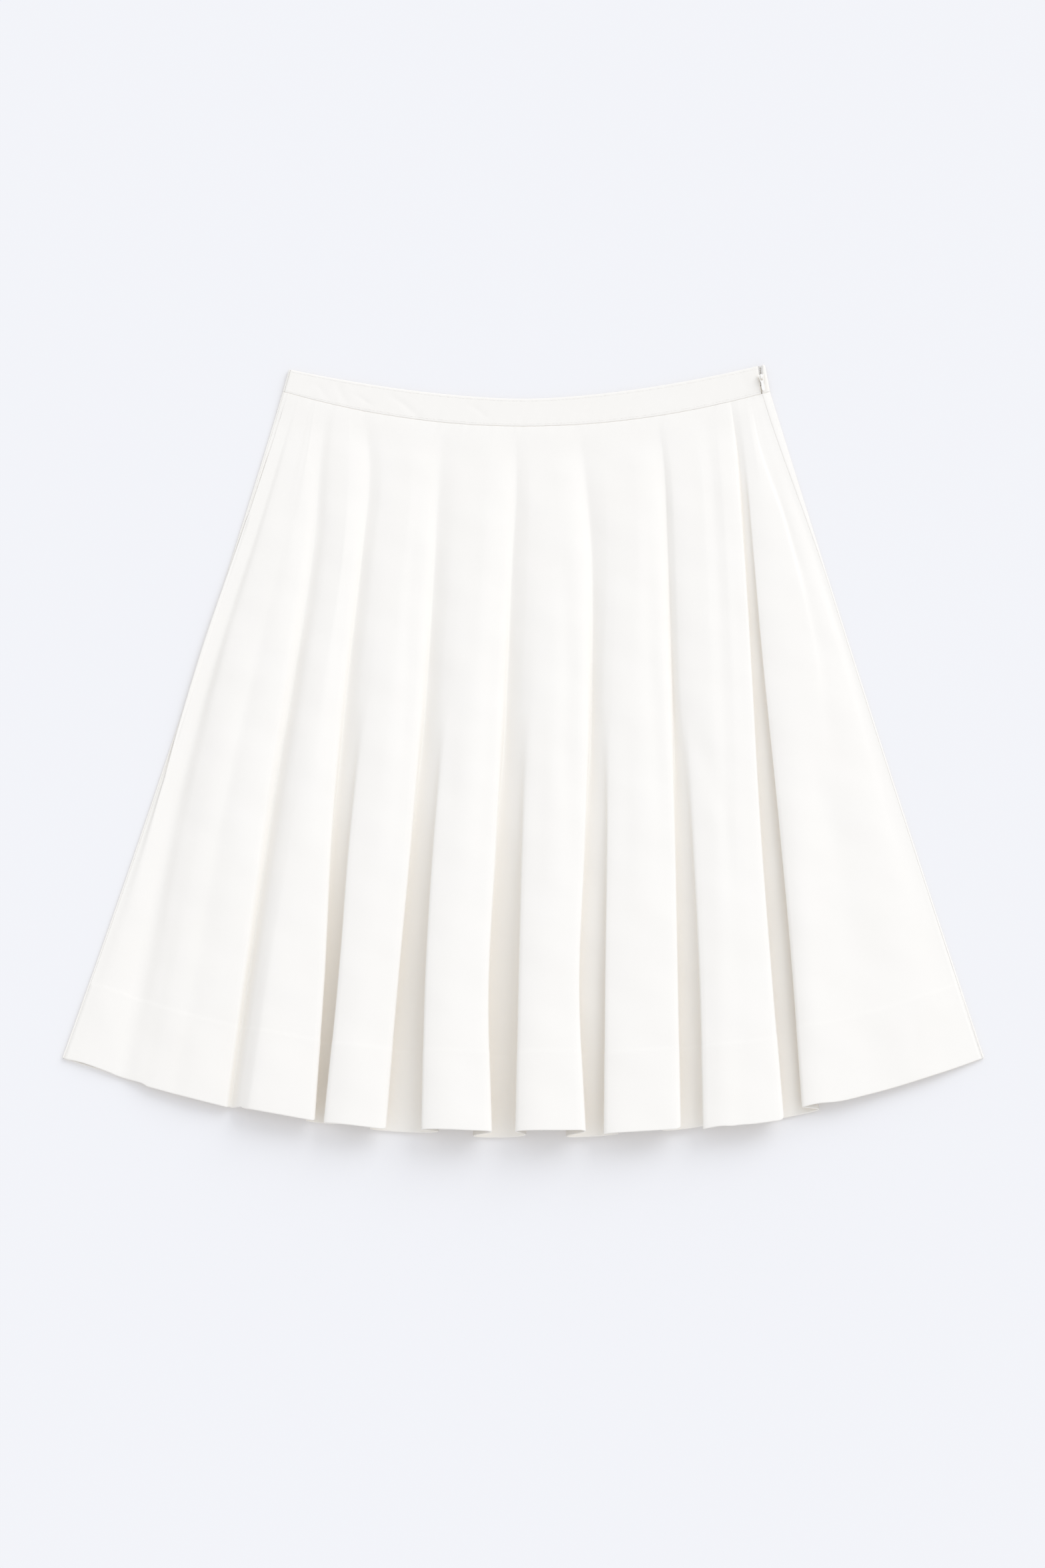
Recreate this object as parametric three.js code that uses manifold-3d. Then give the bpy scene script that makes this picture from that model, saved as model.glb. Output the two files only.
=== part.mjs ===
// Circle skirt laid flat on its back, front up, with a curved waistband and a zip at its left side
// seam, which is the right-hand end as it lies.
// Millimetres. The surface it lies on is z = 0, +Y points from the hem to the waist and +X to the
// right.

import * as THREE from 'three';
import { mergeVertices } from 'three/addons/utils/BufferGeometryUtils.js';
import Module from 'manifold-3d';

const wasm = await Module();
wasm.setup();

// Cloth
const CLOTH = 1.6;
const BAND_CLOTH = 2.0;
const SEAM_GAP = 0.3;

// Outline as it lies
const SEAM_CENTRE_Y = 260.8;
const SEAM_RISE = 29;
const HEM_CENTRE_Y = -311;
const HEM_RISE = 63;
const HEM_POWER = 2.3;
const SEAM_LEFT = 188;
const SEAM_RIGHT = 193;
const HEM_HALF = 351;
const SIDE_BOW_LEFT = 4;
const SIDE_BOW_RIGHT = 1.5;
const BACK_HEM_SHORTER = 13;

// Levels of the middle of the cloth, and the strips of the back that turn up round the sides
const BACK_LEVEL = CLOTH / 2;
const FLOOR_LEVEL = CLOTH + SEAM_GAP + CLOTH / 2;
const EDGE_LEVEL = 3.2;
const STRIP = 2.4;
const STRIP_AT_ZIP = 6.4;
const ZIP_SHARE = 0.3;
const EDGE_FLAT = 1.1;

// Waistband
const BAND_TOP_CENTRE_Y = 283.8;
const BAND_TOP_RISE_LEFT = 24.5;
const BAND_TOP_RISE_RIGHT = 28.6;
const BAND_TOP_POWER = 1.7;
const BAND_LEAN_LEFT = 4.7;
const BAND_LEAN_RIGHT = 3.8;
const BAND_STRIP = 3;
const BAND_BACK_LEVEL = BAND_CLOTH / 2;
const BAND_FRONT_LEVEL = BAND_CLOTH + SEAM_GAP + BAND_CLOTH / 2;

// The heights down the panel, as shares of its length, at which the fold tables give their sizes:
// waist seam, yoke, hip, upper, middle, lower and hem
const STATIONS = [0, 0.08, 0.2, 0.4, 0.6, 0.8, 1];

// How high the crest of each fold stands, from left to right, and how far its hem hangs below the
// hem's curve
const CRESTS = [
  { name: 'left_flank', height: [3.2, 3.3, 3.5, 4, 4.6, 4.8, 4.4], hang: -2 },
  { name: 'left_wave', height: [3.2, 5, 6.5, 8.5, 9.6, 9, 7], hang: 0 },
  { name: 'second_wave', height: [3.2, 5.4, 7.2, 9.4, 10.6, 10.4, 8.4], hang: 0 },
  { name: 'fold_1', height: [3.2, 6, 8.2, 11, 13.6, 16, 17], hang: 0 },
  { name: 'fold_2', height: [3.2, 6.4, 8.6, 11.8, 15, 18, 19.5], hang: 1 },
  { name: 'fold_3', height: [3.2, 6.6, 9, 12.6, 17, 21.5, 24], hang: 0 },
  { name: 'fold_4', height: [3.2, 6.6, 9, 12.8, 17.5, 22, 25], hang: 0 },
  { name: 'fold_5', height: [3.2, 6.4, 8.8, 12.4, 16.2, 19.5, 21], hang: 2.5 },
  { name: 'fold_6', height: [3.2, 6.2, 8.4, 11.6, 15, 18, 19], hang: 4 },
  { name: 'fold_6_slope', height: [3.2, 6, 8, 11, 14, 16.4, 17], hang: 6 },
  { name: 'fold_7', height: [3.2, 6.2, 7.8, 9.2, 10.6, 11.6, 11.6], hang: -2 },
  { name: 'right_flank', height: [3.2, 3.4, 3.6, 3.9, 4.2, 4.5, 4.6], hang: 0 },
];
const CREST_PLACE = 0.4;

// The trough to the right of each crest but the last, with how deep it is as a share of the crests.
// A deep trough has its left and right edges, how far its floor runs under the fold on each side
// at the hem, how wide its shoulders are beside the others' and how much sharper it is. A soft one
// has its centre and half width, and from 'right' its centre is measured from the right side.
const TROUGHS = [
  {
    name: 'left_dip', hang: -1.5, under: [0, 0], shoulder: [0.4, 0.5], sharper: -1.6,
    depth: [0, 0.3, 0.7, 0.85, 0.85, 0.8, 0.6],
    left: [-177, -189, -207, -239, -266, -287, -307],
    right: [-174, -184, -201, -230, -252, -269, -287],
  },
  {
    name: 'wave_dip', hang: 0, centre: [-164, -171, -184, -206, -227, -245, -263],
    half: [1.2, 2, 3, 6, 8, 8, 8], depth: [0, 0, 0.03, 0.08, 0.1, 0.1, 0.12],
  },
  {
    name: 'second_dip', hang: -1.5, under: [0, 0], shoulder: [0.6, 0.6], sharper: -1.5,
    depth: [0.3, 0.6, 0.75, 0.8, 0.8, 0.8, 0.85],
    left: [-152, -158, -162, -177, -194, -209, -223],
    right: [-145, -149, -152, -167, -183, -198, -212],
  },
  {
    name: 'trough_1', hang: -2, under: [8, 18], shoulder: [0.8, 1], sharper: 0,
    depth: [0.25, 0.72, 0.8, 0.9, 1, 1, 1],
    left: [-124, -119, -125, -137, -146, -151, -158],
    right: [-114, -108, -114, -124, -134, -141, -151],
  },
  {
    name: 'trough_2', hang: -1.5, under: [16, 22], shoulder: [1.1, 1], sharper: 0,
    depth: [0.25, 0.72, 0.8, 0.9, 1, 1, 1],
    left: [-61, -65, -69, -76, -85, -95, -104], right: [-48, -49, -54, -62, -70, -75, -77],
  },
  {
    name: 'trough_3', hang: 0, under: [16, 14], shoulder: [1, 1], sharper: 0,
    depth: [0.25, 0.72, 0.8, 0.9, 0.98, 1, 1],
    left: [-6, -5, -9, -14, -20, -26, -24], right: [4, 6, 5, 1, -2, -4, -6],
  },
  {
    name: 'trough_4', hang: 0.8, under: [16, 18], shoulder: [1, 1], sharper: 0,
    depth: [0.25, 0.72, 0.8, 0.8, 0.7, 0.68, 0.85],
    left: [44, 49, 53, 52, 48, 43, 47], right: [60, 66, 67, 63, 63, 62, 61],
  },
  {
    name: 'trough_5', hang: -0.5, under: [16, 6], shoulder: [1, 1], sharper: 0,
    depth: [0.25, 0.72, 0.75, 0.72, 0.7, 0.75, 0.85],
    left: [105, 110, 112, 115, 117, 118, 119], right: [111, 116, 119, 122, 129, 134, 136],
  },
  {
    name: 'short_dip', hang: 5, centre: [143, 147, 151, 155, 158, 160, 162],
    half: [5, 5, 5, 5, 4, 4, 4], depth: [0.15, 0.3, 0.2, 0.1, 0.04, 0, 0],
  },
  {
    name: 'trough_6', hang: 1.4, under: [14, 20], shoulder: [0.6, 0.45], sharper: 1.2,
    depth: [0.6, 1, 1, 1, 1, 1, 1],
    left: [161.5, 167, 171.5, 177, 182, 189, 197], right: [166, 171.5, 177, 186, 196, 205, 212],
  },
  {
    name: 'right_dip', from: 'right', hang: 0, centre: [15, 18.5, 15.5, 20, 38, 55, 70],
    half: [1.8, 2.6, 5, 10, 22, 30, 35], depth: [0, 0.15, 0.2, 0.1, 0, 0, 0],
  },
];

// At each station: the shape of the deep troughs, from gentle (0) through stepped (1) to walled
// (2); how much of their run under the folds is there; and the width of the shoulders from a
// trough's left and right edges to the tops of the folds
const TROUGH_SHAPE = [0, 0, 0.45, 1, 1.7, 2, 2];
const UNDER_SHARE = [0, 0, 0, 0.1, 0.4, 0.7, 1];
const UNDER_IF_SHARPER = 0.15;
const LEFT_SHOULDER = [11, 11, 11, 9, 6, 5, 4.5];
const RIGHT_SHOULDER = [14, 17, 18, 17, 14, 11, 10];

// The shapes of a deep trough's section. Each point has the edge that it is measured from, its
// place as shares of the trough's width, of the shoulder and of the run under the fold there, and
// its height as a share of the crest on its side.
const LEFT = 0;
const RIGHT = 1;
const TROUGH_SHAPES = [
  [
    [LEFT, 0, -1.3, 0, 0.86], [LEFT, 0, -0.8, 0, 0.6], [LEFT, 0, -0.4, 0, 0.27],
    [LEFT, 0, -0.12, 0, 0.04], [LEFT, 0.06, 0, 0, 0.02], [LEFT, 0.3, 0, 0, 0.24],
    [RIGHT, -0.4, 0, 0, 0.48], [RIGHT, -0.1, 0, 0, 0.68], [RIGHT, 0, 0.2, 0, 0.78],
    [RIGHT, 0, 0.5, 0, 0.87], [RIGHT, 0, 1, 0, 0.95],
  ],
  [
    [LEFT, 0, -1.1, 0, 0.9], [LEFT, 0, -0.5, 0, 0.76], [LEFT, 0, -0.16, 0, 0.48],
    [LEFT, 0, 0, 0, 0.18], [LEFT, 0.08, 0, 0, 0.03], [LEFT, 0.3, 0, 0, 0.17],
    [RIGHT, -0.4, 0, 0, 0.4], [RIGHT, -0.1, 0, 0, 0.6], [RIGHT, 0, 0.2, 0, 0.75],
    [RIGHT, 0, 0.5, 0, 0.87], [RIGHT, 0, 1, 0, 0.95],
  ],
  [
    [LEFT, 0, -1.3, 0, 0.92], [LEFT, 0, -0.45, 0, 0.86], [LEFT, 0, 0, 0, 0.68],
    [LEFT, 0.08, 0, -1, 0.2], [LEFT, 0.24, 0, -0.7, 0], [LEFT, 0.45, 0, 0, 0.03],
    [RIGHT, -0.3, 0, 0.45, 0.13], [RIGHT, -0.08, 0, 0.75, 0.34], [RIGHT, 0, 0, 0, 0.74],
    [RIGHT, 0, 0.3, 0, 0.87], [RIGHT, 0, 1, 0, 0.96],
  ],
];
const LAST_ON_LEFT_CREST = 1;
const FIRST_ON_RIGHT_CREST = 8;

// The shape of a soft trough's section: place in half widths, share of the way up or down from one
// crest to the next, and depth
const SOFT_SHAPE = [
  [-1.2, 0.2, 0.05], [-0.75, 0.35, 0.5], [-0.3, 0.5, 1], [0.3, 0.6, 0.5], [1, 0.8, 0.05],
];

// Low creases pressed into the back under the hollow folds
const BACK_CREASE_HEIGHT = 3.2;
const BACK_CREASE_SHARE = 0.3;
const BACK_CREASE_FADE = { until: 0.9, power: 0.7 };
const BACK_CREASE_SHAPE = [[-1, 0], [-0.45, 0.55], [0, 1], [0.45, 0.55], [1, 0]];

const FRONT_ROWS = 17;
const BACK_ROWS = 9;
const FLAT_STEPS = 4;
const RIGHT_FLAT_STEPS = 6;
const BAND_ROWS = 3;
const BAND_COLUMNS = 25;

// Zip
const ZIP_TURN = THREE.MathUtils.degToRad(10);
const SLIDER = {
  x: 186, y: 300.6, width: 4.8, length: 5, plate: 1, neck: 0.8, neckLength: 2,
  bridge: 0.8, bar: 0.7, corner: 0.6,
};
const SLIDER_OUTLINE = { footWidth: 0.32, foot: 0.4, nose: 0.6, half: 0.5, notch: 0.36 };
const SLIDER_UNDERSIDE = 4.6;
const NECK_FOOT = 3.5;
const SINK = 0.2;
const HINGE = { halfLength: 1.2, halfHeight: 0.95, level: 6.9 };
const PULL = {
  length: 11.4, width: 3, neck: 1.8, thickness: 1, bar: 0.8, holeLength: 2.7, holeWidth: 1.6,
};
const PULL_OUTLINE = {
  shoulder: 0.8, bend: 0.6, neckEnd: 1.6, belly: 0.6, bellyEnd: 0.8, tipWidth: 0.3,
  tipEnd: 0.95, tip: 1.03,
};
const PULL_DROOP = THREE.MathUtils.degToRad(8.5);
const TAPE = { thickness: 0.9, from: 0.3, below: 0.4 };

const WHITE = { color: 0xf7f6f3, roughness: 0.85, metalness: 0 };

// Value at share v down the panel of a row of a table: a cubic through the stations, whose slope
// at each station is that of the line joining its neighbours
function along(values, v) {
  const last = STATIONS.length - 1;
  let i = 0;
  while (i < last - 1 && v > STATIONS[i + 1]) i += 1;
  const slope = (k) => {
    const a = Math.max(k - 1, 0);
    const b = Math.min(k + 1, last);
    return (values[b] - values[a]) / (STATIONS[b] - STATIONS[a]);
  };
  const span = STATIONS[i + 1] - STATIONS[i];
  const t = (v - STATIONS[i]) / span;
  const t2 = t * t;
  const t3 = t2 * t;
  return (2 * t3 - 3 * t2 + 1) * values[i] + (t3 - 2 * t2 + t) * span * slope(i)
    + (3 * t2 - 2 * t3) * values[i + 1] + (t3 - t2) * span * slope(i + 1);
}

// Side edges of the skirt at share v
function leftSide(v) {
  return -(SEAM_LEFT + (HEM_HALF - SEAM_LEFT) * v) + SIDE_BOW_LEFT * 4 * v * (1 - v);
}

function rightSide(v) {
  return SEAM_RIGHT + (HEM_HALF - SEAM_RIGHT) * v - SIDE_BOW_RIGHT * 4 * v * (1 - v);
}

// Smooth step from 0 to 1
function step(x) {
  const t = THREE.MathUtils.clamp(x, 0, 1);
  return t * t * (3 - 2 * t);
}

// Width of the strip of the back that shows beyond the right-hand seam: it narrows down the zip's
// length
function rightStrip(v) {
  return STRIP + (STRIP_AT_ZIP - STRIP) * (1 - step(v / ZIP_SHARE));
}

// Place of the row v across the skirt: it curves up from the centre line to the sides
function rowY(x, v) {
  const u = x < 0 ? x / leftSide(v) : x / rightSide(v);
  const seam = SEAM_CENTRE_Y + SEAM_RISE * u * u;
  const hem = HEM_CENTRE_Y + HEM_RISE * u ** HEM_POWER;
  return seam + (hem - seam) * v;
}

// Points across a deep trough, blended between its shapes
function deepTrough(trough, v, before, after, hangs) {
  const { clamp } = THREE.MathUtils;
  const edge = [along(trough.left, v), along(trough.right, v)];
  const width = edge[RIGHT] - edge[LEFT];
  const more = UNDER_IF_SHARPER * trough.sharper * step(v / STATIONS[2]);
  const share = clamp(along(UNDER_SHARE, v) + more, 0, 1);
  const form = clamp(along(TROUGH_SHAPE, v) + trough.sharper, 0, TROUGH_SHAPES.length - 1);
  const shallow = 1 - Math.min(along(trough.depth, v), 1);
  const floor = FLOOR_LEVEL + shallow * (Math.min(before, after) - FLOOR_LEVEL);
  const reach = [along(LEFT_SHOULDER, v), along(RIGHT_SHOULDER, v)];
  const crest = [before, after];
  return TROUGH_SHAPES[0].map((_, number) => {
    const point = { x: 0, z: 0, hang: trough.hang };
    TROUGH_SHAPES.forEach((shape, k) => {
      const weight = Math.max(0, 1 - Math.abs(form - k));
      const [side, across, shoulder, under, height] = shape[number];
      const run = under * trough.under[side] * share;
      point.x += weight * (edge[side] + across * width + run
        + shoulder * reach[side] * trough.shoulder[side]);
      point.z += weight * (floor + height * (crest[side] - floor));
    });
    if (number <= LAST_ON_LEFT_CREST) [point.hang] = hangs;
    if (number >= FIRST_ON_RIGHT_CREST) [, point.hang] = hangs;
    return point;
  });
}

// Points across a soft trough: below a line from one crest to the next
function softTrough(trough, v, before, after) {
  const offset = along(trough.centre, v);
  const centre = trough.from === 'right' ? rightSide(v) - offset : offset;
  const half = along(trough.half, v);
  const worn = along(trough.depth, v) * (Math.min(before, after) - FLOOR_LEVEL);
  return SOFT_SHAPE.map(([place, rise, lowered]) => ({
    x: centre + place * half,
    z: before + (after - before) * rise - lowered * worn,
    hang: trough.hang,
  }));
}

// Section of the front across the skirt at share v: points that the cloth runs through
function frontSection(v) {
  const start = leftSide(v) + STRIP + SEAM_GAP;
  const end = rightSide(v) - rightStrip(v) - SEAM_GAP;
  const height = CRESTS.map((crest) => along(crest.height, v));
  const points = [
    { x: start, z: EDGE_LEVEL, hang: 0 },
    { x: start + EDGE_FLAT, z: EDGE_LEVEL, hang: 0 },
  ];
  TROUGHS.forEach((trough, i) => {
    const hangs = [CRESTS[i].hang, CRESTS[i + 1].hang];
    const across = trough.left ? deepTrough : softTrough;
    const set = across(trough, v, height[i], height[i + 1], hangs);
    const previous = points[points.length - 1].x;
    const top = previous + CREST_PLACE * (set[0].x - previous);
    points.push({ x: top, z: height[i], hang: hangs[0] }, ...set);
  });
  const last = points[points.length - 1].x;
  points.push({ x: (last + end - EDGE_FLAT) / 2, z: height[CRESTS.length - 1], hang: 0 });
  points.push({ x: end - EDGE_FLAT, z: EDGE_LEVEL, hang: 0 });
  points.push({ x: end, z: EDGE_LEVEL, hang: 0 });
  return points;
}

// A smooth curve past a row of points: the values of a uniform cubic B-spline at its knots, with
// each control point first pushed away from its neighbours so that the curve comes back to it
function smooth(points, key) {
  const last = points.length - 1;
  const value = points.map((point) => point[key]);
  const pushed = value.map((here, i) => {
    if (i === 0 || i === last) return here;
    return (8 * here - value[i - 1] - value[i + 1]) / 6;
  });
  return pushed.map((here, i) => {
    if (i === 0 || i === last) return here;
    return (pushed[i - 1] + 4 * here + pushed[i + 1]) / 6;
  });
}

// A wall of even thickness on both sides of a grid of points, whose rows run from left to right
// and follow each other down the piece
function wall(grid, thickness) {
  const rows = grid.length;
  const columns = grid[0].length;
  const within = (i, count) => Math.min(Math.max(i, 0), count - 1);
  const at = (r, c) => grid[within(r, rows)][within(c, columns)];
  const positions = [];
  const down = new THREE.Vector3();
  const across = new THREE.Vector3();
  for (const side of [0.5, -0.5]) {
    for (let r = 0; r < rows; r += 1) {
      for (let c = 0; c < columns; c += 1) {
        down.subVectors(at(r + 1, c), at(r - 1, c)).normalize();
        const before = new THREE.Vector3().subVectors(at(r, c), at(r, c - 1)).normalize();
        const after = new THREE.Vector3().subVectors(at(r, c + 1), at(r, c)).normalize();
        across.addVectors(before, after).normalize();
        const normal = new THREE.Vector3().crossVectors(down, across).normalize();
        positions.push(...at(r, c).clone().addScaledVector(normal, side * thickness));
      }
    }
  }
  const top = (r, c) => r * columns + c;
  const under = (r, c) => rows * columns + r * columns + c;
  const index = [];
  const quad = (a, b, c, d) => index.push(a, b, c, a, c, d);
  for (let r = 0; r < rows - 1; r += 1) {
    for (let c = 0; c < columns - 1; c += 1) {
      quad(top(r, c), top(r + 1, c), top(r + 1, c + 1), top(r, c + 1));
      quad(under(r, c), under(r, c + 1), under(r + 1, c + 1), under(r + 1, c));
    }
    quad(top(r, 0), under(r, 0), under(r + 1, 0), top(r + 1, 0));
    const end = columns - 1;
    quad(top(r, end), top(r + 1, end), under(r + 1, end), under(r, end));
  }
  for (let c = 0; c < columns - 1; c += 1) {
    quad(top(0, c), top(0, c + 1), under(0, c + 1), under(0, c));
    const end = rows - 1;
    quad(top(end, c), under(end, c), under(end, c + 1), top(end, c + 1));
  }
  const geometry = new THREE.BufferGeometry();
  geometry.setAttribute('position', new THREE.Float32BufferAttribute(positions, 3));
  geometry.setIndex(index);
  return geometry;
}

// Front panel: the folded section, carried from the waist seam to the hem. Rows lie closer
// together near the seam, where the folds begin.
function frontPanel() {
  const grid = [];
  for (let r = 0; r < FRONT_ROWS; r += 1) {
    const t = r / (FRONT_ROWS - 1);
    const v = t * (0.7 + 0.3 * t);
    const points = frontSection(v);
    const x = smooth(points, 'x');
    const z = smooth(points, 'z');
    const hang = smooth(points, 'hang');
    grid.push(x.map((here, i) => new THREE.Vector3(
      here,
      rowY(here, v) - hang[i] * v ** 3,
      Math.max(z[i], FLOOR_LEVEL),
    )));
  }
  return wall(grid, CLOTH);
}

// The strip of the back that turns up round one side of the skirt to the seam on the front.
// outward is -1 on the left and 1 on the right. The points run from the seam down to the back.
function sideRoll(side, outward, strip, low, high, thickness) {
  const radius = (high - low) / 2;
  const middle = (high + low) / 2;
  const centre = side - outward * (radius + thickness / 2);
  const points = [{ x: side - outward * strip, z: high }];
  const steps = 6;
  for (let i = 0; i <= steps; i += 1) {
    const angle = Math.PI * (0.5 - i / steps);
    points.push({
      x: centre + outward * radius * Math.cos(angle),
      z: middle + radius * Math.sin(angle),
    });
  }
  return points;
}

// Points between two places on the flat of the back, without its ends
function flatRun(from, to, z, steps = FLAT_STEPS) {
  const inner = Array.from({ length: steps - 1 }, (_, i) => (i + 1) / steps);
  return inner.map((share) => ({ x: from + (to - from) * share, z }));
}

// Section of the back at share v: flat on the surface, rolled up round both sides, with a low
// crease under each fold of the front that stands hollow
function backSection(v) {
  const points = sideRoll(leftSide(v), -1, STRIP, BACK_LEVEL, EDGE_LEVEL, CLOTH);
  const share = Math.max(along(UNDER_SHARE, v), 0);
  const { until, power } = BACK_CREASE_FADE;
  const crease = BACK_CREASE_HEIGHT * Math.sin(Math.PI * Math.min(v / until, 1)) ** power;
  const deep = TROUGHS.filter((trough) => trough.left && trough.under[RIGHT] > 0);
  deep.slice(0, -1).forEach((trough, i) => {
    const next = deep[i + 1];
    const from = along(trough.right, v) + trough.under[RIGHT] * share + CLOTH;
    const to = along(next.left, v) - next.under[LEFT] * share - CLOTH;
    const middle = (from + to) / 2;
    const half = BACK_CREASE_SHARE * (to - from);
    points.push(...flatRun(points[points.length - 1].x, middle - half, BACK_LEVEL));
    points.push(...BACK_CREASE_SHAPE.map(([place, rise]) => ({
      x: middle + place * half,
      z: BACK_LEVEL + rise * crease,
    })));
  });
  const right = sideRoll(rightSide(v), 1, rightStrip(v), BACK_LEVEL, EDGE_LEVEL, CLOTH).reverse();
  points.push(...flatRun(points[points.length - 1].x, right[0].x, BACK_LEVEL, RIGHT_FLAT_STEPS));
  points.push(...right);
  return points;
}

function backPanel() {
  const grid = [];
  for (let r = 0; r < BACK_ROWS; r += 1) {
    const v = r / (BACK_ROWS - 1);
    grid.push(backSection(v).map(({ x, z }) => {
      const u = x < 0 ? x / leftSide(v) : x / rightSide(v);
      const shorter = BACK_HEM_SHORTER * v ** 3 * (1 - u * u);
      return new THREE.Vector3(x, rowY(x, v) + shorter, z);
    }));
  }
  return wall(grid, CLOTH);
}

// Place on the waistband: u from -1 at its left end to 1 at its right, s from 0 at the waist seam
// to 1 at the top edge
function bandSide(s, right) {
  return right ? SEAM_RIGHT - BAND_LEAN_RIGHT * s : -(SEAM_LEFT - BAND_LEAN_LEFT * s);
}

function bandY(x, s) {
  const u = x / bandSide(s, x > 0);
  const seam = SEAM_CENTRE_Y + SEAM_RISE * u * u + SEAM_GAP;
  const rise = x > 0 ? BAND_TOP_RISE_RIGHT : BAND_TOP_RISE_LEFT;
  const top = BAND_TOP_CENTRE_Y + rise * u ** BAND_TOP_POWER;
  return seam + s * (top - seam);
}

// The open end of the waistband at the zip: the front stops at the zip, and the back turns up
// round the side to meet it, closed at the seam and apart at the top
const zipFrontEnd = (s) => 186 - 2.4 * s;
const zipBackEnd = (s) => 186.6 + 0.4 * s;

function bandGrid(section) {
  const grid = [];
  for (let r = 0; r < BAND_ROWS; r += 1) {
    const s = 1 - r / (BAND_ROWS - 1);
    grid.push(section(s).map(({ x, z }) => new THREE.Vector3(x, bandY(x, s), z)));
  }
  return grid;
}

function evenly(from, to, z, count) {
  return Array.from({ length: count }, (_, i) => ({ x: from + (to - from) * i / (count - 1), z }));
}

function bandFront() {
  return wall(bandGrid((s) => evenly(
    bandSide(s, false) + BAND_STRIP + SEAM_GAP, zipFrontEnd(s), BAND_FRONT_LEVEL, BAND_COLUMNS,
  )), BAND_CLOTH);
}

function bandBack() {
  return wall(bandGrid((s) => {
    const sides = [BAND_BACK_LEVEL, BAND_FRONT_LEVEL, BAND_CLOTH];
    const left = sideRoll(bandSide(s, false), -1, BAND_STRIP, ...sides);
    const side = bandSide(s, true);
    const right = sideRoll(side, 1, side - zipBackEnd(s), ...sides).reverse();
    const flat = evenly(left[left.length - 1].x, right[0].x, BAND_BACK_LEVEL, BAND_COLUMNS);
    return [...left, ...flat.slice(1, -1), ...right];
  }), BAND_CLOTH);
}

// Zip tape: it fills the open end of the waistband between the front and the turned-up back
function zipTape() {
  const corner = (s, x) => new THREE.Vector2(x, bandY(x, s) - TAPE.below * s);
  const shape = new THREE.Shape([
    corner(TAPE.from, zipFrontEnd(TAPE.from) + SEAM_GAP),
    corner(TAPE.from, zipBackEnd(TAPE.from) - SEAM_GAP),
    corner(1, zipBackEnd(1) - SEAM_GAP),
    corner(1, zipFrontEnd(1) + SEAM_GAP),
  ]);
  return new THREE.ExtrudeGeometry(shape, { depth: TAPE.thickness, bevelEnabled: false });
}

// Closed solid of a three.js geometry, and back
function toSolid(geometry) {
  const bare = geometry.clone();
  bare.deleteAttribute('normal');
  bare.deleteAttribute('uv');
  const merged = mergeVertices(bare, 1e-4);
  return new wasm.Manifold(new wasm.Mesh({
    numProp: 3,
    vertProperties: new Float32Array(merged.attributes.position.array),
    triVerts: new Uint32Array(merged.index.array),
  }));
}

function toGeometry(solid) {
  const mesh = solid.getMesh();
  const geometry = new THREE.BufferGeometry();
  geometry.setAttribute('position', new THREE.Float32BufferAttribute(mesh.vertProperties, 3));
  geometry.setIndex(Array.from(mesh.triVerts));
  return geometry;
}

// Slider: a rounded plate over the zip, a neck down between the two tapes, and the arch that
// holds the pull, about the hinge line at its own origin
function slider() {
  const { width, length, plate, neck, neckLength, bridge, bar, corner } = SLIDER;
  const { footWidth, foot, nose, half, notch } = SLIDER_OUTLINE;
  const top = SLIDER_UNDERSIDE + plate - HINGE.level;
  const outline = new THREE.Shape();
  outline.moveTo(-half * width, half * length);
  outline.lineTo(-footWidth * width, -foot * length);
  outline.quadraticCurveTo(0, -nose * length, footWidth * width, -foot * length);
  outline.lineTo(half * width, half * length);
  outline.quadraticCurveTo(0, notch * length, -half * width, half * length);
  const flat = { depth: plate, bevelEnabled: false, curveSegments: 6 };
  const body = new THREE.ExtrudeGeometry(outline, flat).translate(0, 0, top - plate);
  const drop = SLIDER_UNDERSIDE - NECK_FOOT + SINK;
  const down = new THREE.BoxGeometry(neck, neckLength, drop)
    .translate(0, 0, top - plate - drop / 2 + SINK);
  const halfOuter = HINGE.halfLength + bar;
  const topOuter = HINGE.halfHeight + bar;
  const arch = new THREE.Shape();
  arch.moveTo(-halfOuter, top - SINK);
  arch.lineTo(-halfOuter, topOuter - corner);
  arch.quadraticCurveTo(-halfOuter, topOuter, -halfOuter + corner, topOuter);
  arch.lineTo(halfOuter - corner, topOuter);
  arch.quadraticCurveTo(halfOuter, topOuter, halfOuter, topOuter - corner);
  arch.lineTo(halfOuter, top - SINK);
  arch.lineTo(HINGE.halfLength, top - SINK);
  arch.lineTo(HINGE.halfLength, HINGE.halfHeight);
  arch.lineTo(-HINGE.halfLength, HINGE.halfHeight);
  arch.lineTo(-HINGE.halfLength, top - SINK);
  const upright = { depth: bridge, bevelEnabled: false, curveSegments: 4 };
  const loop = new THREE.ExtrudeGeometry(arch, upright)
    .translate(0, 0, -bridge / 2)
    .rotateX(Math.PI / 2)
    .rotateZ(Math.PI / 2);
  return toGeometry(toSolid(body).add(toSolid(down)).add(toSolid(loop)));
}

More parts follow.
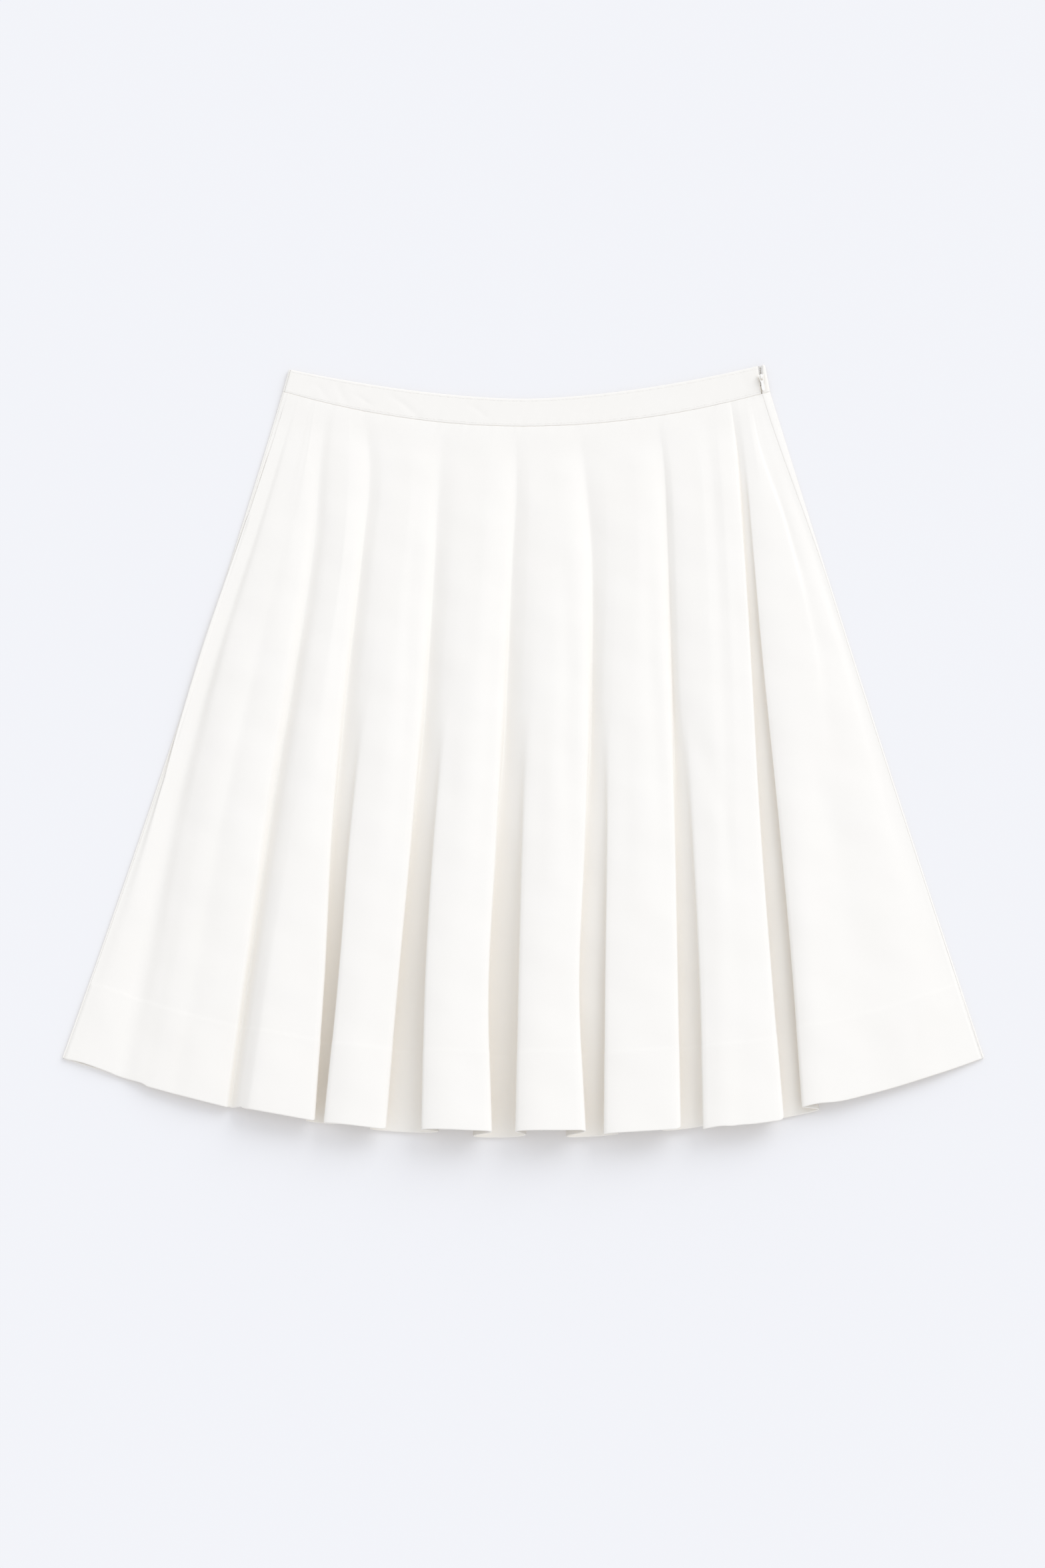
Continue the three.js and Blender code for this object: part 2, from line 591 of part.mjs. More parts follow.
// Pull tab: a long drop with a bar at its head, which lies in the slider's arch and is the hinge
function pull() {
  const { length, width, neck, thickness, bar, holeLength, holeWidth } = PULL;
  const { shoulder, bend, neckEnd, belly, bellyEnd, tipWidth, tipEnd, tip } = PULL_OUTLINE;
  const head = bar / 2 + holeLength + bar;
  const side = width / 2;
  const waist = neck / 2;
  const drop = new THREE.Shape();
  drop.moveTo(-side, bar / 2);
  drop.lineTo(-side, -head + shoulder);
  drop.quadraticCurveTo(-waist, -head - bend, -waist, -head - neckEnd);
  drop.quadraticCurveTo(-belly * width, -bellyEnd * length, -tipWidth * width, -tipEnd * length);
  drop.quadraticCurveTo(0, -tip * length, tipWidth * width, -tipEnd * length);
  drop.quadraticCurveTo(belly * width, -bellyEnd * length, waist, -head - neckEnd);
  drop.quadraticCurveTo(waist, -head - bend, side, -head + shoulder);
  drop.lineTo(side, bar / 2);
  const hole = new THREE.Path();
  hole.moveTo(-holeWidth / 2, -bar / 2);
  hole.lineTo(holeWidth / 2, -bar / 2);
  hole.lineTo(holeWidth / 2, -bar / 2 - holeLength);
  hole.lineTo(-holeWidth / 2, -bar / 2 - holeLength);
  drop.holes.push(hole);
  const flat = { depth: thickness, bevelEnabled: false, curveSegments: 5 };
  return new THREE.ExtrudeGeometry(drop, flat).translate(0, 0, -thickness / 2);
}

function piece(name, geometry, look = {}) {
  const mesh = new THREE.Mesh(geometry, new THREE.MeshStandardMaterial({ ...WHITE, ...look }));
  mesh.name = name;
  return mesh;
}

const skirt = new THREE.Group();
skirt.add(piece('front_panel', frontPanel()));
skirt.add(piece('back_panel', backPanel()));
skirt.add(piece('waistband_front', bandFront()));
skirt.add(piece('waistband_back', bandBack()));

const tape = piece('zip_tape', zipTape(), { color: 0xe9e7e2, roughness: 0.7 });
tape.position.z = BAND_CLOTH + SEAM_GAP;
skirt.add(tape);

const zip = new THREE.Group();
zip.position.set(SLIDER.x, SLIDER.y, HINGE.level);
zip.rotation.z = ZIP_TURN;
zip.add(piece('zip_slider', slider(), { color: 0xf4f2ee, roughness: 0.35, metalness: 0.1 }));
const tab = piece('zip_pull', pull(), { color: 0xfaf9f6, roughness: 0.35, metalness: 0.1 });
tab.rotation.x = PULL_DROOP;
zip.add(tab);
skirt.add(zip);

export default skirt;
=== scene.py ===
"""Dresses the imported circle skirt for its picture.

The skirt lies on its back, front up. Each piece of cloth is worked out as a grid of points in
millimetres, on the same curves as its solid, and turned into a thin closed shell in metres.
"""
from math import cos, pi, radians, sin

import bpy
import numpy as np
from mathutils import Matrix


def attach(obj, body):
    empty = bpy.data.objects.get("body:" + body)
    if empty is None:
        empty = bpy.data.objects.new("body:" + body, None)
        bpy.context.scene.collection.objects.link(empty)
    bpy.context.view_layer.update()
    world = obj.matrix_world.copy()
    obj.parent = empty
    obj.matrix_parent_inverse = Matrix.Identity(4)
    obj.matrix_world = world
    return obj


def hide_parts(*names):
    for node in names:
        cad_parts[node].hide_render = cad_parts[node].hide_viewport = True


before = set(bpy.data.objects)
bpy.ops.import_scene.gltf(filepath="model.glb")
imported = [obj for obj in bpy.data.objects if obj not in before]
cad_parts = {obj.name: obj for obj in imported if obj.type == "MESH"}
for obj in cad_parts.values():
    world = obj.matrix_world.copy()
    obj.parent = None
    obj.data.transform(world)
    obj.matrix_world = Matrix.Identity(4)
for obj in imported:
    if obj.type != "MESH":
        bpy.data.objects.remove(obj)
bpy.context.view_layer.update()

MM = 0.001

# Outline of the skirt as it lies, in millimetres
SEAM_CENTRE_Y = 260.8
SEAM_RISE = 29
HEM_CENTRE_Y = -311
HEM_RISE = 63
HEM_POWER = 2.3
SEAM_LEFT = 188
SEAM_RIGHT = 193
HEM_HALF = 351
SIDE_BOW_LEFT = 4
SIDE_BOW_RIGHT = 1.5
BACK_HEM_SHORTER = 13
PANEL_LENGTH = 573

# Levels of the middle of the solids' walls
FLOOR_LEVEL = 2.7
EDGE_LEVEL = 3

# Strip of the back that shows beyond the seams: its width, that at the top of the zip, and the
# share of the panel down which the zip's side narrows
STRIP = 1.3
STRIP_AT_ZIP = 6.4
ZIP_SHARE = 0.3

# Flat run of the front by each seam, and where a crest lies between two troughs
EDGE_FLAT = 2.5
CREST_PLACE = 0.4

# Cloth as it is sewn: its thickness, the turned hem, the gaps between pieces, and the least
# share of the thickness at a rounded edge
CLOTH = 0.6
HEM_CLOTH = 1
HEM_DEPTH = 63
HEM_EASE = 4
HEM_SETTLE = 30
BAND_CLOTH = 1.6
SEAM_GAP = 0.03
LAYER_GAP = 0.2
RIM_LEAST = 0.3

# How low cloth sinks from the solids' level on to the back: the share of the drop at the waist
# seam, the run down which the rest comes in, and the height off the floor by which it ends
SETTLE_AT_SEAM = 0.1
SEAM_FADE = 30
SETTLE_HEIGHT = 10

# Waistband
BAND_DEPTH = 23
BAND_TOP_CENTRE_Y = 283.8
BAND_TOP_RISE_LEFT = 24.5
BAND_TOP_RISE_RIGHT = 28.6
BAND_TOP_POWER = 1.7
BAND_LEAN_LEFT = 4.7
BAND_LEAN_RIGHT = 3.8
BAND_BACK_LEVEL = BAND_CLOTH / 2
BAND_FRONT_LEVEL = 1.5 * BAND_CLOTH + LAYER_GAP

# Ends of the bands at the zip: x at the waist seam, and how far it has moved by the top
ZIP_FRONT = (186, -2.4)
ZIP_BACK = (186.6, 0.4)

# Shares of the panel's length at which the fold tables give their sizes:
# waist seam, yoke, hip, upper, middle, lower and hem
STATIONS = np.array([0, 0.08, 0.2, 0.4, 0.6, 0.8, 1])

# Each crest's name and height, and how far its hem hangs below the hem's curve
CRESTS = [
    ("left_flank", [3.2, 3.3, 3.5, 4, 4.6, 4.8, 4.4], -2),
    ("left_wave", [3.2, 4.4, 5.8, 8.3, 9.6, 9, 7], 0),
    ("second_wave", [3.2, 5, 6.8, 9.2, 10.6, 10.4, 8.4], 0),
    ("fold_1", [3.2, 6, 8.2, 11, 13.6, 16, 17], 0),
    ("fold_2", [3.2, 6.4, 8.6, 11.8, 15, 18, 19.5], 1),
    ("fold_3", [3.2, 6.6, 9, 12.6, 17, 21.5, 24], 0),
    ("fold_4", [3.2, 6.6, 9, 12.8, 17.5, 22, 25], 0),
    ("fold_5", [3.2, 6.4, 8.8, 12.4, 16.2, 19.5, 21], 2.5),
    ("fold_6", [3.2, 6.2, 8.4, 11.6, 15, 18, 19], 4),
    ("fold_6_slope", [3.2, 6, 8, 11, 14, 16.4, 17], 6),
    ("fold_7", [3.2, 5.4, 6.6, 8.6, 10.5, 11.6, 11.6], -2),
    ("right_flank", [3.2, 3.4, 3.6, 3.9, 4.2, 4.5, 4.6], 0),
]

# The trough to the right of each crest but the last, with how deep it is worn as a share of the
# crests. A deep one has a left and a right edge, how far it runs under the folds at the hem, and
# shares of the usual shoulders. Its left shoulder may widen by so many times down to the hem, and
# its shape be some steps sharper, or gentler below 0. A soft one has a half width and a centre,
# counted from the right side if that is named
TROUGHS = [
    {"hang": -1.5, "under": (0, 0), "shoulder": (0.4, 0.5), "widens": 3, "sharper": -2,
     "depth": [0, 0.08, 0.3, 0.75, 0.85, 0.8, 0.6],
     "left": [-177, -189, -207, -239, -266, -287, -307],
     "right": [-174, -184, -201, -230, -252, -269, -287]},
    {"hang": 0, "centre": [-164, -171, -184, -206, -227, -245, -263],
     "half": [1.2, 2, 3, 6, 8, 8, 8], "depth": [0, 0, 0.03, 0.08, 0.1, 0.1, 0.12]},
    {"hang": -1.5, "under": (0, 0), "shoulder": (0.6, 0.6), "sharper": -1.5,
     "depth": [0.3, 0.6, 0.75, 0.8, 0.8, 0.8, 0.85],
     "left": [-152, -158, -162, -177, -194, -209, -223],
     "right": [-145, -149, -152, -167, -183, -198, -212]},
    {"hang": -2, "under": (8, 18), "shoulder": (0.8, 1), "depth": [0.25, 0.72, 0.8, 0.9, 1, 1, 1],
     "left": [-124, -119, -125, -137, -146, -151, -158],
     "right": [-114, -108, -114, -124, -134, -141, -151]},
    {"hang": -1.5, "under": (16, 22), "shoulder": (1.1, 1),
     "depth": [0.25, 0.72, 0.8, 0.9, 1, 1, 1],
     "left": [-61, -65, -69, -76, -85, -95, -104], "right": [-48, -49, -54, -62, -70, -75, -77]},
    {"hang": 0, "under": (16, 14), "shoulder": (1, 1), "depth": [0.25, 0.72, 0.8, 0.9, 0.98, 1, 1],
     "left": [-6, -5, -9, -14, -20, -26, -24], "right": [4, 6, 5, 1, -2, -4, -6]},
    {"hang": 0.8, "under": (16, 18), "shoulder": (1, 1),
     "depth": [0.25, 0.72, 0.8, 0.8, 0.7, 0.68, 0.85],
     "left": [44, 49, 53, 52, 48, 43, 47], "right": [60, 66, 67, 63, 63, 62, 61]},
    {"hang": -0.5, "under": (16, 6), "shoulder": (1, 1),
     "depth": [0.25, 0.72, 0.75, 0.72, 0.7, 0.75, 0.85],
     "left": [105, 110, 112, 115, 117, 118, 119], "right": [111, 116, 119, 122, 129, 134, 136]},
    {"hang": 5, "centre": [143, 147, 151, 155, 158, 160, 162],
     "half": [5, 5, 5, 5, 4, 4, 4], "depth": [0.15, 0.3, 0.2, 0.1, 0.04, 0, 0]},
    {"hang": 1.4, "under": (14, 20), "shoulder": (0.6, 0.45), "sharper": 1.2,
     "depth": [0.6, 1, 1, 1, 1, 1, 1],
     "left": [161.5, 167, 171.5, 177, 182, 189, 197],
     "right": [166, 171.5, 177, 186, 196, 205, 212]},
    {"side": "right", "hang": 0, "centre": [15, 18.5, 15.5, 20, 38, 55, 70],
     "half": [1.8, 2.6, 5, 10, 22, 30, 35], "depth": [0, 0.15, 0.2, 0.1, 0, 0, 0]},
]

# Points across a soft trough: place as a share of its half width from its centre, how far up the
# line from the crest before to the crest after it starts, and how deep it is worn there
SOFT_SHAPE = [
    (-1.2, 0.2, 0.05), (-0.75, 0.35, 0.5), (-0.3, 0.5, 1), (0.3, 0.6, 0.5), (1, 0.8, 0.05),
]

# At each station: the shape of the troughs, gentle (0), stepped (1) or walled (2) or between;
# how much of their run under the folds is there; and the width of the shoulders from a trough's
# left and right edges to the tops of the folds
TROUGH_SHAPE = [0, 0, 0.45, 1, 1.7, 2, 2]
UNDER_SHARE = [0, 0, 0, 0.1, 0.4, 0.7, 1]
LEFT_SHOULDER = [11, 11, 11, 10, 8, 6.5, 5.5]
RIGHT_SHOULDER = [14, 17, 18, 17, 14, 11, 10]

# How much more of its run a trough has for each step sharper, and the share down the panel from
# which it has all of that
UNDER_IF_SHARPER = 0.15
SHARPER_FROM = 0.2

# The shapes of a deep trough's section: for each point, its place from an edge as shares of the
# trough's width, the shoulder and the run under the fold there, and its height as a share of the
# crest on its side. The first six are placed from the left edge, the rest from the right one
FROM_LEFT = 6
TROUGH_SHAPES = [
    [
        (0, -1.3, 0, 0.86), (0, -0.8, 0, 0.6), (0, -0.4, 0, 0.27), (0, -0.12, 0, 0.04),
        (0.06, 0, 0, 0.02), (0.3, 0, 0, 0.24), (-0.4, 0, 0, 0.48), (-0.1, 0, 0, 0.68),
        (0, 0.2, 0, 0.78), (0, 0.5, 0, 0.87), (0, 1, 0, 0.95),
    ],
    [
        (0, -1.1, 0, 0.9), (0, -0.5, 0, 0.76), (0, -0.16, 0, 0.48), (0, 0, 0, 0.18),
        (0.08, 0, 0, 0.03), (0.3, 0, 0, 0.17), (-0.4, 0, 0, 0.4), (-0.1, 0, 0, 0.6),
        (0, 0.2, 0, 0.75), (0, 0.5, 0, 0.87), (0, 1, 0, 0.95),
    ],
    [
        (0, -1.3, 0, 0.92), (0, -0.45, 0, 0.86), (0, 0, 0, 0.68), (0.08, 0, -1, 0.2),
        (0.24, 0, -0.7, 0), (0.45, 0, 0, 0.03), (-0.3, 0, 0.45, 0.13), (-0.08, 0, 0.75, 0.34),
        (0, 0, 0, 0.74), (0, 0.3, 0, 0.87), (0, 1, 0, 0.96),
    ],
]

# The first of those points that hang as the trough does, and as the crest on its right does
FLOOR_FROM = 2
CREST_FROM = 8

# Low creases pressed into the back under the folds: their height, their half width as a share of
# the cloth between two troughs, the share down the panel by which they end, and their section as
# shares of the half width and the height
BACK_CREASE_HEIGHT = 3.2
BACK_CREASE_SHARE = 0.3
BACK_CREASE_END = 0.9
BACK_CREASE_SHAPE = [(-0.45, 0.55), (0, 1), (0.45, 0.55), (1, 0)]

# Points across the back: of a rolled side, before each crease and after the last, and where the
# first ones beyond a roll lie
ROLL_POINTS = 7
BEFORE_CREASE = 4
AFTER_CREASES = 6
ROLL_RUN = (1.5, 5)

# Soft furrows down the folds' tops and short puckers by the hem: the crest that each is on, its
# half width, its depth and its path
FOLD_CREASES = [
    ("left_flank", 4, 0.5, [(-345, -222), (-341, -262)]),
    ("left_flank", 4, 0.45, [(-336, -216), (-331, -268)]),
    ("left_flank", 4, 0.6, [(-327, -210), (-322, -274)]),
    ("left_flank", 4, 0.4, [(-317, -226), (-313, -276)]),
    ("left_wave", 9, 0.7, [(-187, 96), (-203, 40), (-220, -22), (-238, -98)]),
    ("second_wave", 8, 0.6, [(-163, 118), (-172, 62), (-184, -8), (-195, -74)]),
    ("fold_1", 7, 0.9, [(-138, 150), (-141, 94), (-145, 18), (-150, -36), (-157, -110)]),
    ("fold_2", 7, 0.9,
     [(-82, 228), (-84, 192), (-88, 116), (-89, 61), (-91, -4), (-95, -63), (-100, -120)]),
    ("fold_2", 4, 0.9, [(-97, -232), (-100, -268), (-103, -309)]),
    ("fold_3", 7, 0.9, [(-17, 196), (-19, 138), (-24, 61), (-26, 6), (-31, -64), (-36, -130)]),
    ("fold_3", 6, 0.6, [(-52, 60), (-56, 2), (-58, -72)]),
    ("fold_4", 7, 0.9, [(28, 204), (30, 149), (35, 61), (33, -4), (38, -91), (36, -150)]),
    ("fold_4", 6, 0.5, [(14, 24), (13, -48), (12, -132)]),
    ("fold_5", 7, 0.9, [(97, 200), (98, 149), (99, 61), (103, 1), (108, -85), (109, -140)]),
    ("fold_5", 6, 0.5, [(80, 20), (80, -60), (78, -150)]),
    ("fold_6", 7, 0.7, [(124, 62), (128, 18), (145, -28), (160, -74), (176, -154), (185, -207)]),
    ("fold_7", 9, 0.6, [(216, 22), (232, -52), (247, -132)]),
    ("right_flank", 5, 0.8,
     [(180, 270), (183, 258), (188, 238), (198, 206), (205, 173), (222, 119)]),
    ("right_flank", 12, 0.5, [(238, 90), (262, 10), (290, -90)]),
    ("right_flank", 5, 0.4, [(296, -212), (301, -258)]),
]

# How far from its crest a furrow is whole and where it ends, counted in points of the section,
# the height off the floor over which it fades in, and the power that blunts a crease's ends
CREASE_REACH = (3, 4.5)
CREASE_FADE = 2
CREASE_ENDS = 0.7

# Drag wrinkles across the waistband: half width, depth and path
BAND_CREASES = [
    (1.8, 0.28, [(-162, 297), (-157, 290), (-153, 282)]),
    (2, 0.34, [(-146, 298), (-142, 288), (-138, 278)]),
    (1.8, 0.26, [(-132, 288), (-124, 282), (-117, 277)]),
    (2.6, 0.36, [(-106, 288), (-92, 278), (-82, 268), (-76, 263)]),
    (2.2, 0.2, [(-44, 280), (-34, 273), (-26, 266)]),
    (2.4, 0.22, [(62, 288), (52, 278), (46, 268)]),
    (2, 0.24, [(128, 295), (120, 287), (114, 278)]),
    (2.2, 0.28, [(169, 307), (172, 300), (174, 291)]),
]

# Low unevenness of the cloth: direction of each wave in degrees, its length and its height, and
# the height off the floor over which it fades in
RUMPLE = [(8, 61, 0.22), (97, 83, 0.18), (38, 43, 0.13), (141, 37, 0.12), (72, 29, 0.07)]
RUMPLE_FROM = 4

# Puckers along sewn seams: how far they reach, the run over which they fade in from a seam's
# ends and, for each wave along the seam, its length and height
PUCKER_REACH = 5
PUCKER_FADE = 10
PUCKERS = [(13.7, 0.1), (8.3, 0.09), (5.9, 0.06)]

# Sewing: length, pitch and width of a stitch, how far the band's rows lie from its edges, and
# the points that a row follows across the skirt
TOPSTITCH = {"length": 2.4, "pitch": 3, "width": 0.34, "inset": 2, "points": 1200}
HEM_STITCH = {"length": 0.9, "pitch": 7, "width": 0.3, "points": 2400}

# Zip tape and teeth in the open end of the waistband. The tape starts at a share of the way up,
# ends a little below the top, and each half fills a share of the opening
TAPE_FROM = 0.32
TAPE_BELOW_TOP = 0.2
TAPE_LEVEL = 2.6
TAPE_CLOTH = 0.5
TAPE_SHARE = 0.3
TAPE_GRID = (24, 5)
TOOTH = {"length": 0.95, "pitch": 0.85, "width": 0.5, "lift": 0.1}

# Rows and columns of the grids, points across a band, and the share down a panel or up a band of
# the section whose length and bends place the columns
FRONT_GRID = (132, 300)
BACK_GRID = (50, 210)
BAND_ROWS = 25
BAND_COLUMNS = {"front": 150, "back": 170}
BAND_POINTS = 25
PANEL_SECTION = 0.85
BAND_SECTION = 0.5

# Spacing of a panel's rows, and extra rows about the hem's stitching and by the rounded edges in
# millimetres, and by a band's edges as shares of its depth
ROW_PACE = (0.7, 0.3)
STITCH_ROWS = [-3, -1.8, -0.9, 0, 0.9, 1.8, 3]
EDGE_ROWS = [0.1, 0.35, 0.8]
BAND_EDGE_ROWS = [0.006, 0.02, 0.98, 0.994]

# Spacing of columns: samples to a point, millimetres that a radian of bend counts for, the most
# bend that counts at a sample, and extra columns by both ends
SECTION_SAMPLES = 24
BEND_WEIGHT = 3.5
BEND_MOST = 0.5
END_COLUMNS = [0.03, 0.1, 0.18]

# Flat cuts, sectors of a circle: the whole front, and what shows of the back
FRONT_CUT = {"inner": 343, "angle": 1.1}
BACK_CUT = {"inner": 688, "angle": 0.574}

# Repeat and depth of the cotton's weave and of the zip tape's ribs, in metres
WEAVE = (0.00042, 0.00006)
RIBS = (0.0005, 0.0001)

# Camera: its tilt down in degrees, and its distance, what it aims at and the height of the
# picture there in metres
CAMERA = {"tilt": 73, "distance": 6.0, "aim": (-0.0005, -0.0298, 0), "picture": 1.2062}
SENSOR = 36
VIEW_END = 50

# Key light: its turn from +X towards +Y, its height and its width in degrees, its strength and
# colour. The room is evenly lit, and light bounces often enough to fill deep folds of white cloth
KEY = {"turn": 48, "height": 33.5, "width": 45, "strength": 1.25, "colour": (0.912, 0.942, 1)}
ROOM = {"strength": 1.015, "colour": (0.894, 0.928, 1, 1)}
BOUNCES = 14
CLOTH_BOUNCES = 10

# Studio floor, in metres
FLOOR_SIZE = 12
FLOOR_Z = -0.0003


# Camera and light

def place_camera():
    """A long lens far away, tilted down at the skirt from its hem side."""
    tilt, distance = radians(CAMERA["tilt"]), CAMERA["distance"]
    away = np.array([0, -cos(tilt), sin(tilt)])
    data = bpy.data.cameras.new("camera")
    data.sensor_width = SENSOR
    data.lens = SENSOR * distance / CAMERA["picture"]
    data.clip_end = VIEW_END
    camera = bpy.data.objects.new("camera", data)
    camera.location = np.array(CAMERA["aim"]) + distance * away
    camera.rotation_euler = (pi / 2 - tilt, 0, 0)
    bpy.context.collection.objects.link(camera)
    bpy.context.scene.camera = camera


def light_studio():
    """A wide soft key light from beyond the waist on the right, in a bright room."""
    scene = bpy.context.scene
    scene.view_settings.view_transform = "Standard"
    scene.view_settings.look = "None"
    scene.cycles.max_bounces = BOUNCES
    scene.cycles.diffuse_bounces = CLOTH_BOUNCES
    world = bpy.data.worlds.new("room")
    world.use_nodes = True
    background = world.node_tree.nodes["Background"]
    background.inputs["Color"].default_value = ROOM["colour"]
    background.inputs["Strength"].default_value = ROOM["strength"]
    scene.world = world
    data = bpy.data.lights.new("key", "SUN")
    data.energy = KEY["strength"]
    data.angle = radians(KEY["width"])
    data.color = KEY["colour"]
    key = bpy.data.objects.new("key", data)
    key.rotation_euler = (0, radians(90 - KEY["height"]), radians(KEY["turn"]))
    bpy.context.collection.objects.link(key)


# Materials

class Value:
    """An output of a node, which varies over a surface. Python's operators add Math nodes."""

    def __init__(self, tree, socket):
        self.tree = tree
        self.socket = socket

    def output(self, number):
        """Another output of the same node."""
        return Value(self.tree, self.socket.node.outputs[number])

    def math(self, operation, first, second=None):
        """A Math node of one or two terms, each a Value or a plain number."""
        node = self.tree.nodes.new("ShaderNodeMath")
        node.operation = operation
        for slot, term in zip(node.inputs, (first, second)):
            if isinstance(term, Value):
                self.tree.links.new(term.socket, slot)
            elif term is not None:
                slot.default_value = term
        return Value(self.tree, node.outputs[0])

    def __add__(self, other):
        return self.math("ADD", self, other)

    def __mul__(self, other):
        return self.math("MULTIPLY", self, other)

    __radd__ = __add__
    __rmul__ = __mul__

    def sine(self):
        return self.math("SINE", self)


class Finish:
    """A procedural material. The sockets named at the start keep one value all over."""

    def __init__(self, name, **fixed):
        self.material = bpy.data.materials.new(name)
        self.material.use_nodes = True
        self.tree = self.material.node_tree
        self.shader = self.tree.nodes["Principled BSDF"]
        self.dress(**fixed)

    def add(self, kind, settings=None, inputs=None, output=0):
        """A node of a kind: its settings first, then the values or links of its sockets."""
        node = self.tree.nodes.new(kind)
        for key, value in (settings or {}).items():
            setattr(node, key, value)
        for key, value in (inputs or {}).items():
            self.feed(node.inputs[key], value)
        return Value(self.tree, node.outputs[output])

    def feed(self, socket, value):
        if isinstance(value, Value):
            self.tree.links.new(value.socket, socket)
        else:
            socket.default_value = value

    def place(self):
        """Object coordinates."""
        return self.add("ShaderNodeTexCoord", output=3)

    def noise(self, where, scale, detail):
        inputs = {"Vector": where, "Scale": scale, "Detail": detail}
        return self.add("ShaderNodeTexNoise", inputs=inputs)

    def blend(self, share, first, second):
        """The colour between two, by share."""
        inputs = {0: share, 6: (*first, 1), 7: (*second, 1)}
        return self.add("ShaderNodeMix", {"data_type": "RGBA"}, inputs, output=2)

    def bump(self, height, depth, strength, under=None):
        """Relief from a height of 0 to 1, depth metres deep, over another relief."""
        inputs = {"Height": height, "Distance": depth, "Strength": strength}
        if under is not None:
            inputs["Normal"] = under
        return self.add("ShaderNodeBump", inputs=inputs)

    def dress(self, **sockets):
        for socket, value in sockets.items():
            self.feed(self.shader.inputs[socket.replace("_", " ")], value)
        return self.material


def cotton(name, shade, warm_shade):
    """White cotton sateen on a piece's own grain map, in metres: fine threads over and under
    each other, long thread irregularities both ways, and a faint drift of tone."""
    finish = Finish(
        name, Sheen_Weight=0.25, Sheen_Roughness=0.4, Specular_IOR_Level=0.3,
        Sheen_Tint=(1, 0.99, 0.97, 1))
    grain = finish.add("ShaderNodeUVMap", {"uv_map": "grain"})
    weft = finish.add("ShaderNodeSeparateXYZ", inputs={0: grain})
    warp = weft.output(1)
    repeat, depth = WEAVE
    over = (weft * (2 * pi / repeat)).sine()
    under = (warp * (2 * pi / repeat)).sine()
    weave = over * under * 0.5 + 0.5
    along_warp = finish.add("ShaderNodeMapping", inputs={"Vector": grain, "Scale": (1500, 45, 1)})
    along_weft = finish.add("ShaderNodeMapping", inputs={"Vector": grain, "Scale": (45, 1500, 1)})
    slubs = finish.noise(along_warp, 1, 2) + finish.noise(along_weft, 1, 2)
    drift = finish.noise(grain, 22, 4)
    tone = finish.blend(drift * 0.8 + slubs * 0.12, shade, warm_shade)
    relief = finish.bump(slubs * 0.5, 0.00005, 0.35)
    relief = finish.bump(weave, depth, 0.6, relief)
    return finish.dress(Base_Color=tone, Roughness=0.72 + slubs * 0.08, Normal=relief)


def tape_weave():
    """Woven zip tape: fine ribs across it, a sine of the way down, with a little fuzz."""
    finish = Finish("zip_tape_weave", Sheen_Weight=0.15)
    spot = finish.place()
    down = finish.add("ShaderNodeSeparateXYZ", inputs={0: spot}).output(1)
    repeat, depth = RIBS
    ribs = (down * (2 * pi / repeat)).sine() * 0.5 + 0.5
    fuzz = finish.noise(spot, 1800, 3)
    return finish.dress(
        Base_Color=finish.blend(ribs * 0.5 + fuzz * 0.5, (0.66, 0.635, 0.59), (0.78, 0.75, 0.7)),
        Roughness=0.75 + fuzz * 0.1,
        Normal=finish.bump(ribs, depth, 0.6))


def speckled(name, scale, detail, shades, roughness, relief, **fixed):
    """A finish whose tone, roughness and low relief all follow one fine noise. roughness is the
    least and what the noise adds, and relief its depth in metres and its strength."""
    finish = Finish(name, **fixed)
    speck = finish.noise(finish.place(), scale, detail)
    least, more = roughness
    return finish.dress(
        Base_Color=finish.blend(speck, *shades),
        Roughness=least + speck * more,
        Normal=finish.bump(speck, *relief))


def enamel():
    """Glossy white enamel under a thin clear coat."""
    return speckled(
        "white_enamel", 900, 4, [(0.87, 0.835, 0.77), (0.94, 0.905, 0.845)], (0.28, 0.12),
        (0.00003, 0.25), Metallic=0.0, Specular_IOR_Level=0.55, Coat_Weight=0.4,
        Coat_Roughness=0.12)


def sewing_thread():
    """Twisted white thread."""
    return speckled(
        "sewing_thread", 2600, 2, [(0.84, 0.8, 0.735), (0.9, 0.866, 0.8)], (0.6, 0.15),
        (0.00004, 0.5), Sheen_Weight=0.3, Specular_IOR_Level=0.35)


def tooth_nylon():
    """Hard, slightly clear plastic of the zip's teeth."""
    return speckled(
        "zip_tooth_nylon", 1400, 3, [(0.66, 0.63, 0.585), (0.8, 0.77, 0.72)], (0.32, 0.12),
        (0.00003, 0.3), Specular_IOR_Level=0.5, Coat_Weight=0.2)


def floor_paint():
    """A pale floor, lit partly from within like a light table, so that shadows on it stay soft."""
    finish = Finish("studio_floor", Specular_IOR_Level=0.0, Emission_Strength=1.0, Roughness=1.0)
    drift = finish.noise(finish.place(), 1.5, 2)
    return finish.dress(
        Base_Color=finish.blend(drift, (0.602, 0.602, 0.602), (0.594, 0.594, 0.594)),
        Emission_Color=(0.234, 0.22, 0.212, 1))


# Meshes

